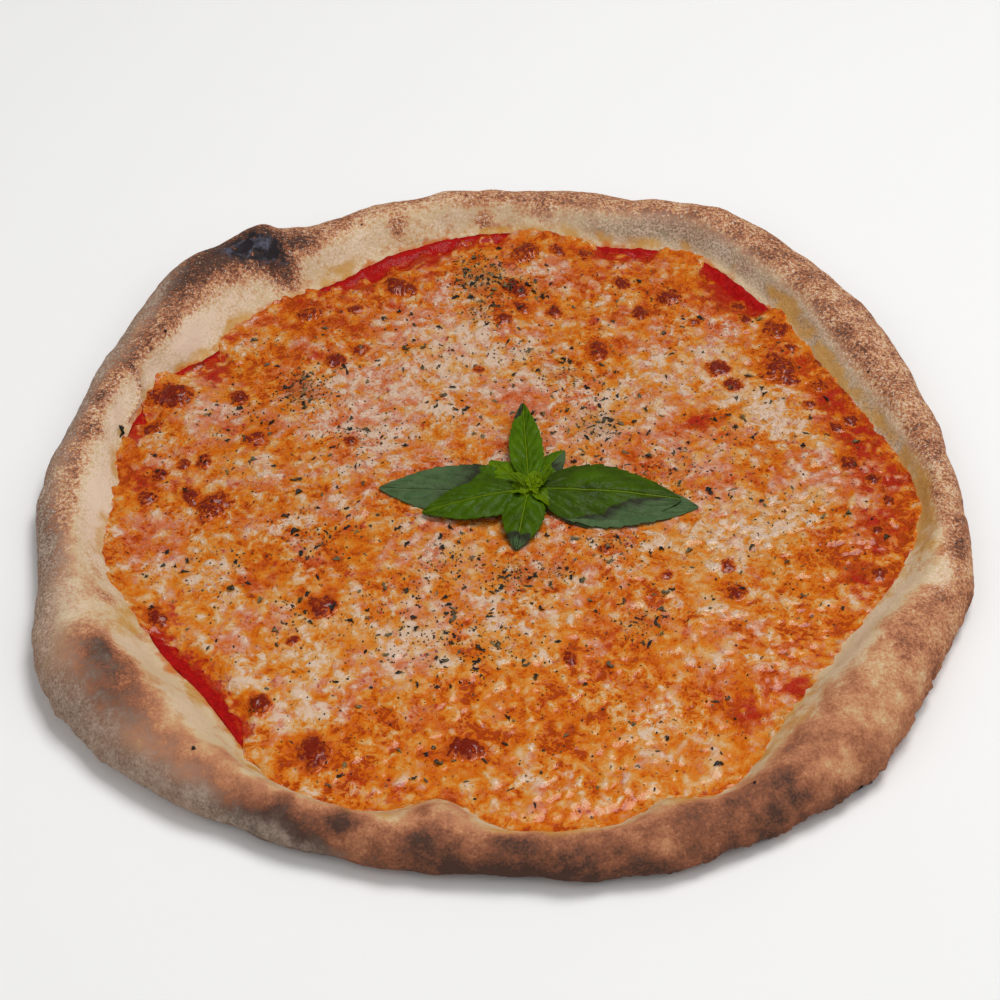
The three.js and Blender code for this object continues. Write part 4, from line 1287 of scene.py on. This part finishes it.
class PizzaHerbs(bpy.types.PropertyGroup):
    flakes: IntProperty(name="Flakes", description="How many dried herb flakes", default=900)
    specks: IntProperty(name="Specks", description="How many fine specks of herb", default=3000)
    black: color_property("Black", "Darkest flakes", 20, 18, 16)
    slate: color_property("Slate", "Dark slate flakes", 46, 42, 36)
    olive: color_property("Olive", "Dark olive flakes", 72, 58, 26)
    grey: color_property("Grey", "Grey green flakes", 98, 94, 74)
    straw: color_property("Straw", "Straw coloured flakes", 132, 108, 62)


FLAKE_STEPS = (6, 3)
SPECK_STEPS = (3, 3)
FLAKE_DEPTH = 0.16
FLAKE_SHARE = (0.2, 0.65)  # of a flake's length, as its width
FLAKE_WIDEST = 1.4
FINE_LENGTH = (1.0, 3.8)  # of the flakes that only show here
FINE_MARGIN = 1.5
SPECK_LENGTH = (0.4, 1.1)
SPECK_SHARE = (0.45, 0.9)
# Burnt crumbs on the crust: angle, station, turn, length and width.
CRUMBS = (
    (167.6, 2.83, 60, 4.6, 1.4), (168.4, 2.86, -20, 3, 1.2), (312.5, 0.5, 10, 8, 3.2),
    (300, 2.1, 40, 1.2, 0.9), (232, 1.9, 0, 1.2, 0.8), (150, 2.2, 80, 1.1, 0.7),
    (112, 2.1, 30, 1.2, 0.8), (22, 2.3, 100, 1, 0.7),
)
CRUMB_STATION = 15  # millimetres a station, about, across the rim
CRUMB_LIFT = 0.3
CRUMB_DEPTH = 0.5


def leaf_shape(share):
    return np.clip(np.sin(math.pi * np.clip(share, 0, 1) ** 0.8), 0, 1) ** 0.85


def under_sprig(x, y, margin):
    """Whether a place lies under a leaf, or nearer to one than the margin."""
    dx = x - SPRIG_PLACE[0]
    dy = y - SPRIG_PLACE[1]
    for leaf in LEAVES:
        turn = math.radians(leaf.heading)
        ahead = dx * math.cos(turn) + dy * math.sin(turn)
        aside = abs(dy * math.cos(turn) - dx * math.sin(turn))
        along = min(max(ahead / leaf.length, 0), 1)
        beyond = abs(ahead - along * leaf.length)
        if beyond < margin and aside < leaf.width / 2 * leaf_shape(along) + margin:
            return True
    return False


def herb_flakes(count):
    """The frame's flakes first, and then finer ones in clusters of their own."""
    draw = seeded(23)
    flakes = []
    drifts, floor = HERB_DRIFTS, HERB_FLOOR
    while len(flakes) < count:
        if len(flakes) == FLAKE_COUNT:
            drifts, floor = HERB_CLUSTERS, HERB_CLUSTER_FLOOR
        radius = bpy.context.scene.pizza_form.diameter / MM / 2 * math.sqrt(draw())
        angle = 360 * draw()
        x, y = turned(radius, angle)
        chance = floor + sum(
            weight * bell(math.hypot(x - cx, y - cy), spread) for cx, cy, spread, weight in drifts
        )
        wanted = draw() < chance
        turn = 360 * draw()
        share = min(len(flakes) / FLAKE_COUNT, 1)
        length = between(*FLAKE_LENGTH, share)
        margin = FLAKE_MARGIN if len(flakes) < FLAKE_COUNT else FINE_MARGIN
        clear = radius < cheese_edge_at(angle) - margin and not under_sprig(x, y, length)
        if wanted and clear:
            flakes.append((x, y, turn, length))
    return flakes


def curled_chip(draw, turn, length, width, steps=FLAKE_STEPS):
    """A ragged scrap, curled along its length: how far each point is along x and y, and its lift."""
    rows, columns = steps
    along, across = np.meshgrid(np.linspace(-1, 1, rows), np.linspace(-1, 1, columns), indexing="ij")
    ragged = np.array([[between(0.3, 1.3, draw()) for _ in range(columns)] for _ in range(rows)])
    taper = (1 - 0.85 * np.abs(along) ** between(1, 4, draw())) * ragged
    ahead = along * length / 2 * between(0.8, 1.1, draw()) + 0.15 * width * (ragged - 0.8)
    aside = across * width / 2 * taper + between(-0.6, 0.6, draw()) * width * along**2
    curl = between(0.1, 1.1, draw()) * width
    lift = curl * across**2 * taper + between(-0.3, 0.4, draw()) * width * along
    cos, sin = turned(1, turn)
    return ahead * cos - aside * sin, ahead * sin + aside * cos, lift + FLAKE_DEPTH * 0.3


def herb_finish(look):
    finish = Finish("dried_herbs")
    tint = finish.total(*finish.masks("tint"), (finish.lumps(0.8, 1), 0.3))
    colors = look.black, look.slate, look.olive, look.grey, look.straw
    color = finish.ramp(tint, zip((0.05, 0.35, 0.55, 0.75, 0.95), colors))
    normal = finish.bump(finish.lumps(0.5, 1), 0.15, 0.8)
    return finish.surface(color, 0.55, normal, Specular_IOR_Level=0.25)


class PIZZA_OT_herbs(bpy.types.Operator):
    """Scatters the dried herbs over the cheese, and the burnt crumbs on the crust"""

    bl_idname = "pizza.herbs"
    bl_label = "Scatter the herbs"

    def execute(self, context):
        look = context.scene.pizza_herbs
        material = herb_finish(look)
        draw = seeded(83)
        herbs = Bundle()
        for k, (x, y, turn, length) in enumerate(herb_flakes(look.flakes + look.specks)):
            if k >= look.flakes:
                steps = SPECK_STEPS
                length = between(*SPECK_LENGTH, draw())
                width = length * between(*SPECK_SHARE, draw())
            else:
                steps = FLAKE_STEPS
                length = between(*FINE_LENGTH, draw() ** 1.8) if k >= FLAKE_COUNT else length
                width = min(length * between(*FLAKE_SHARE, draw()), FLAKE_WIDEST)
            dx, dy, lift = curled_chip(draw, turn, length, width, steps)
            level = cheese_top_at(x + dx, y + dy) + lift
            sheet = np.stack([x + dx, y + dy, level], axis=-1)
            herbs.add(*thick_sheet(sheet, (0, 0, FLAKE_DEPTH)), tint=draw() ** 1.4)
        herbs.make("herb_flakes", "melted_cheese", material)

        crumbs = Bundle()
        for angle, station, turn, length, width in CRUMBS:
            dx, dy, lift = curled_chip(draw, turn, length, width)
            middle = rim_points(np.array(angle), np.array(station))
            round_by = np.degrees(dx / np.hypot(middle[0], middle[1]))
            skin, normal = crust_skin(angle + round_by, station + dy / CRUMB_STATION)
            sheet = skin + normal * (lift + CRUMB_LIFT)[..., None]
            crumbs.add(*thick_sheet(sheet, CRUMB_DEPTH * normal), tint=0.3 * draw())
        crumbs.make("char_crumbs", "dough", material)
        return {"FINISHED"}


# ---------------------------------------------------------------- basil


class PizzaBasil(bpy.types.PropertyGroup):
    deep: color_property("Deep", "Dark green of the blade", 42, 60, 0)
    fresh: color_property("Fresh", "Bright green of the blade", 70, 102, 0)
    vein: color_property("Vein", "Pale midrib and veins", 104, 124, 10)
    wilted: color_property("Wilted", "Dull wilted blade", 66, 90, 52)
    faded: color_property("Faded", "Greyest wilted blade", 88, 108, 70)
    # Bruised: dark wilted edges, partly painted shade cast by the leaf lying over them.
    bruised_and_shaded: color_property("Bruised", "Dark edge of the wilted part", 48, 50, 34)
    young: color_property("Young", "Yellow green of the young leaves", 104, 130, 0)


LEAF_STEPS = (96, 44)
YOUNG_STEPS = (26, 14)
STEM_STEPS = (24, 13)
BLADE_THICKNESS = 0.35
YOUNG_THICKNESS = 0.3
# The young leaves round the top of the stem.
YOUNG_LEAVES = (
    Leaf(142, 9.5, 3.6, (4, 5.5, 6.5), -2, 0.6, 0.85, 0.3, 3),
    Leaf(178, 9, 5.6, (4, 4.5, 3.2), -1, 0.5, 0.95, 0.4, 3),
    Leaf(262, 5, 4.6, (4, 4.8, 2.6), -0.8, 0, 1.1, 0.3, 3),
    Leaf(72, 6.5, 4.4, (4.5, 6, 7), -1.6, 0, 1.0, 0.3, 3),
    Leaf(322, 8.5, 5.2, (3.5, 4.2, 1.8), -0.8, -0.4, 0.7, 0.4, 3),
    Leaf(38, 9, 3, (3, 6, 9), -1.4, 0, 0.65, 0.3, 3),
    Leaf(333, 13, 2.4, (2, 2.4, 0.8), -0.5, 0, 0.75, 0.2, 3),
    Leaf(205, 5, 3.4, (4.5, 5, 3.5), -1, 0, 1.05, 0.3, 3),
    Leaf(20, 4.5, 3.4, (4.5, 6.2, 6), -1.2, 0, 1.1, 0.3, 3),
    Leaf(300, 3.5, 2.8, (5, 6, 5.6), -1, 0, 1.2, 0.2, 3),
    Leaf(110, 3.5, 2.6, (5, 6.4, 7), -1, 0, 1.2, 0.2, 3),
)
YOUNG_SHIFT = (0.8, -1.2, 0)
TEETH = 11


def leaf_sheet(leaf, steps):
    """A leaf's upper face in the sprig's axes with its veins, puckers and toothed edge, and its masks."""
    base, middle, tip = leaf.heights
    lines = np.linspace(0, 1, steps[0] + 1), np.linspace(-1, 1, steps[1] + 1)
    along, across = np.meshgrid(*lines, indexing="ij")
    shape = leaf_shape(along) * between(0.7, 1, eased(along, 0, 0.3))
    size = np.abs(across)
    flat = np.stack([leaf.length * along, leaf.width * across / 2, 0 * along + leaf.heading], axis=-1)
    wander = rough_lumps(flat, 8, 3, 0.5, 91)
    teeth = (along * TEETH - 0.25 * size + 0.3 * wander) % 1
    outline = 1 + 0.07 * (teeth - 0.6) * size**6 * eased(along, 0.15, 0.3)
    ahead = leaf.length * along
    aside = (LEAF_STALK + leaf.width * shape) / 2 * across * outline
    control = 2 * middle - (base + tip) / 2
    arch = (1 - along) ** 2 * base + 2 * along * (1 - along) * control + along**2 * tip
    ripple = LEAF_RIPPLE * np.sin(along * LEAF_RIPPLES * 2 * math.pi) * across
    up = arch + shape * (ripple + leaf.lean * across - leaf.droop * size**1.5)
    up = np.maximum(up, 0)
    rib = (along - leaf.sweep * size**1.2 * (1 - 0.45 * along) + 0.05 * across + 0.05 * wander) * leaf.veins
    phase = np.abs(rib % 1 - 0.5) * 2
    quilt = 0.8 + 0.7 * lumps(np.stack([ahead, aside, 0 * along + leaf.heading], axis=-1), 3.5, 95)
    bulge = (0.7 - phase**2) * np.clip(size * 4, 0, 1) * (1 - size**4) * eased(along, 0.02, 0.2) * quilt
    groove = bell(aside, 0.5) * eased(1 - along, 0, 0.3)
    scale = leaf.width / 27
    up = up + scale * (2 * leaf.pucker * bulge - 0.5 * groove + 0.4 * wander * shape)
    cos, sin = turned(1, leaf.heading)
    points = np.stack([ahead * cos - aside * sin, ahead * sin + aside * cos, up], axis=-1)
    left_edge, left, right, right_edge = leaf.wilt
    border = np.where(across >= 0, between(left, left_edge, size), between(right, right_edge, size))
    past = along + 0.09 * wander - border
    masks = {
        "rib": rib,
        "aside": aside,
        "edge": size,
        "wilt": eased(past, -0.01, 0.015),
        # Near where the wilt begins: darker there, partly bruising and partly painted shade from the leaf
        # lying over it.
        "bruise_and_shade": np.exp(-np.abs(past) / 0.16),
        "fresh": leaf.fresh + 0.2 * wander,
    }
    return points, masks


def leaf_bundle(leaves, steps, place, thickness):
    """The leaves' bodies gathered at a place."""
    bundle = Bundle()
    for leaf in leaves:
        sheet, masks = leaf_sheet(leaf, steps)
        both = {key: np.tile(values.ravel(), 2) for key, values in masks.items()}
        bundle.add(*thick_sheet(sheet + place, (0, 0, thickness)), **both)
    return bundle


def basil_finish(look):
    finish = Finish("basil_leaf")
    rib, aside, edge, wilt, bruise_and_shade, fresh = finish.masks("rib", "aside", "edge", "wilt", "bruise_and_shade", "fresh")
    fine = finish.lumps(0.8, 1)
    medium = finish.lumps(4, 2)
    phase = finish.math("ABSOLUTE", finish.scaled(finish.math("FRACT", rib), 1, -0.5))
    side_vein = finish.times(finish.spread(phase, 0.45, 0.5), finish.spread(edge, 1.0, 0.6))
    midrib = finish.spread(finish.math("ABSOLUTE", aside), 0.5, 0.15)
    vein = finish.math("MAXIMUM", midrib, finish.scaled(side_vein, 0.65))
    tone = finish.total(fresh, (medium, 0.12), (fine, 0.05))
    color = finish.ramp(tone, [(0.0, look.deep), (0.6, look.fresh), (1.0, look.young)])
    color = finish.mix(finish.scaled(vein, 0.7), color, look.vein)
    dull = finish.mix(finish.spread(finish.total(vein, (medium, 0.8)), -0.6, 1.0), look.wilted, look.faded)
    # Darker along the line where the leaf starts to wilt: partly bruising, partly painted shade from the
    # leaf lying over it.
    dull = finish.mix(finish.spread(finish.total(bruise_and_shade, (medium, 0.3)), 0.15, 0.85), dull, look.bruised_and_shaded)
    dull = finish.mix(finish.spread(fine, 0.0, 1.0, 0.0, 0.35), dull, look.bruised_and_shaded)
    color = finish.mix(wilt, color, dull)
    roughness = finish.scaled(wilt, 0.2, 0.4)
    netting = finish.node("ShaderNodeTexVoronoi", {"Vector": finish.place, "Scale": 1 / (1.5 * MM)})
    normal = finish.bump(netting.outputs["Distance"], -0.2, 0.7)
    normal = finish.bump(medium, 0.5, 0.4, normal)
    normal = finish.bump(vein, -0.4, 0.8, normal)
    return finish.surface(color, roughness, normal, Specular_IOR_Level=0.1)


class PIZZA_OT_basil(bpy.types.Operator):
    """Lays the basil sprig: its stem, its leaves and the young leaves in the middle"""

    bl_idname = "pizza.basil"
    bl_label = "Lay the basil"

    def execute(self, context):
        look = context.scene.pizza_basil
        material = basil_finish(look)
        place = np.array([*SPRIG_PLACE, SPRIG_LEVEL])
        leaves = leaf_bundle(LEAVES, LEAF_STEPS, place, BLADE_THICKNESS)
        leaves.make("basil_leaves", "basil_sprig", material)
        young = leaf_bundle(YOUNG_LEAVES, YOUNG_STEPS, place + YOUNG_SHIFT, YOUNG_THICKNESS)
        young.make("basil_young_leaves", "basil_sprig", material)

        lines = np.linspace(0, 360, STEM_STEPS[0] + 1)[:-1], np.linspace(0, 1, STEM_STEPS[1] + 1)
        turn, rise = np.meshgrid(*lines, indexing="ij")
        radius = between(STEM_RADIUS[1], STEM_RADIUS[0], rise) * (1 + 0.12 * np.cos(np.radians(4 * turn)))
        radius = radius * (1 - 0.45 * eased(rise, 0.85, 1))
        x, y = turned(radius, turn)
        level = between(-LEAF_THICKNESS, STEM_HEIGHT, rise)
        stem = np.stack([x, y, level], axis=-1)
        points, faces = closed_body(stem, (0, 0, -LEAF_THICKNESS), (0, 0, STEM_HEIGHT))
        masks = {"rib": 0.5, "aside": 2.0, "edge": 1.0, "wilt": 0.0, "bruise_and_shade": 0.0, "fresh": 0.85}
        make_piece("basil_stem", "basil_sprig", points + place, faces, material, masks)
        return {"FINISHED"}


# ---------------------------------------------------------------- stage


class PizzaStage(bpy.types.PropertyGroup):
    floor: color_property("Floor", "Plain pale floor", 250, 249, 247)
    floor_shade: color_property("Floor shade", "Its slightly darker patches", 236, 234, 230)
    floor_size: length_property("Floor size", "Side of the square floor", 8.0)
    elevation: FloatProperty(
        name="Elevation", description="Camera above the horizon", default=math.radians(46), unit="ROTATION",
        subtype="ANGLE"
    )
    distance: length_property("Distance", "Camera to the middle of the pizza", 0.850)
    lens: FloatProperty(
        name="Focal length", description="On a 36 mm wide sensor", default=88.4, unit="CAMERA"
    )


FLOOR_LINES = 9
TARGET_LEVEL = 8  # what the camera looks at, above the floor
CAMERA_SHIFT = (-0.003, -0.010)
SENSOR_WIDTH = 36
# Softboxes: the place in metres, the side of the square, and the power.
LIGHTS = (((0.35, 0.30, 1.45), 0.6, 13.0), ((0.9, -0.4, 1.2), 1.2, 5.0), ((-0.9, -0.7, 1.1), 1.2, 5.0))
SKY = (0.95, 0.97, 1.0, 1.0)
SKY_STRENGTH = 0.2


def floor_finish(look):
    finish = Finish("pale_floor")
    soft = finish.spread(finish.lumps(60, 2), -1.0, 1.0, 0.0, 0.04)
    color = finish.mix(soft, look.floor, look.floor_shade)
    normal = finish.bump(finish.lumps(3, 1), 0.05, 0.2)
    return finish.surface(color, 0.9, normal, Specular_IOR_Level=0.1)


class PIZZA_OT_stage(bpy.types.Operator):
    """Sets the floor, the soft light and the camera"""

    bl_idname = "pizza.stage"
    bl_label = "Set the stage"

    def execute(self, context):
        look = context.scene.pizza_stage
        scene = context.scene
        half = look.floor_size / 2
        line = np.linspace(-half, half, FLOOR_LINES)
        x, y = np.meshgrid(line, line, indexing="ij")
        mesh = bpy.data.meshes.new("floor")
        quads = grid_quads(FLOOR_LINES, FLOOR_LINES).tolist()
        mesh.from_pydata(flat_points(x, y).reshape(-1, 3).tolist(), [], quads)
        mesh.materials.append(floor_finish(look))
        floor = linked_object("floor", mesh)

        middle = Vector((*(-form_middle()[:2] * MM), TARGET_LEVEL * MM))
        for k, (place, side, power) in enumerate(LIGHTS):
            lamp = bpy.data.lights.new(f"softbox_{k}", "AREA")
            lamp.size = side
            lamp.energy = power
            box = linked_object(f"softbox_{k}", lamp)
            box.location = place
            box.rotation_euler = (middle - box.location).to_track_quat("-Z", "Y").to_euler()
        world = bpy.data.worlds.new("soft_sky")
        world.use_nodes = True
        sky = world.node_tree.nodes["Background"]
        sky.inputs["Color"].default_value = SKY
        sky.inputs["Strength"].default_value = SKY_STRENGTH
        scene.world = world

        lens = bpy.data.cameras.new("camera")
        lens.lens = look.lens
        lens.sensor_width = SENSOR_WIDTH
        lens.sensor_fit = "HORIZONTAL"
        lens.shift_x, lens.shift_y = CAMERA_SHIFT
        camera = linked_object("camera", lens)
        away = Vector((0, -math.cos(look.elevation), math.sin(look.elevation)))
        camera.location = middle + away * look.distance
        camera.rotation_euler = (-away).to_track_quat("-Z", "Y").to_euler()
        scene.camera = camera
        scene.view_settings.view_transform = "Standard"
        return {"FINISHED"}


# ---------------------------------------------------------------- the add-on

GROUPS = {
    "pizza_form": PizzaForm,
    "pizza_crust": PizzaCrust,
    "pizza_sauce": PizzaSauce,
    "pizza_cheese": PizzaCheese,
    "pizza_herbs": PizzaHerbs,
    "pizza_basil": PizzaBasil,
    "pizza_stage": PizzaStage,
}
OPERATORS = (
    PIZZA_OT_stage,
    PIZZA_OT_crust,
    PIZZA_OT_sauce,
    PIZZA_OT_cheese,
    PIZZA_OT_herbs,
    PIZZA_OT_basil,
)


class PIZZA_PT_panel(bpy.types.Panel):
    """Lists the pieces of the pizza"""

    bl_label = "Margherita Pizza"
    bl_idname = "PIZZA_PT_panel"
    bl_space_type = "VIEW_3D"
    bl_region_type = "UI"
    bl_category = "Pizza"

    def draw(self, context):
        for operator in OPERATORS:
            self.layout.operator(operator.bl_idname)
        for name in GROUPS:
            box = self.layout.box()
            group = getattr(context.scene, name)
            for key in group.__annotations__:
                box.prop(group, key)


def register():
    for kind in (*GROUPS.values(), *OPERATORS, PIZZA_PT_panel):
        bpy.utils.register_class(kind)
    for name, kind in GROUPS.items():
        setattr(bpy.types.Scene, name, PointerProperty(type=kind))


def unregister():
    for name in GROUPS:
        delattr(bpy.types.Scene, name)
    for kind in reversed((*GROUPS.values(), *OPERATORS, PIZZA_PT_panel)):
        bpy.utils.unregister_class(kind)


def main():
    register()
    for operator in OPERATORS:
        family, name = operator.bl_idname.split(".")
        getattr(getattr(bpy.ops, family), name)()


if __name__ == "__main__":
    main()
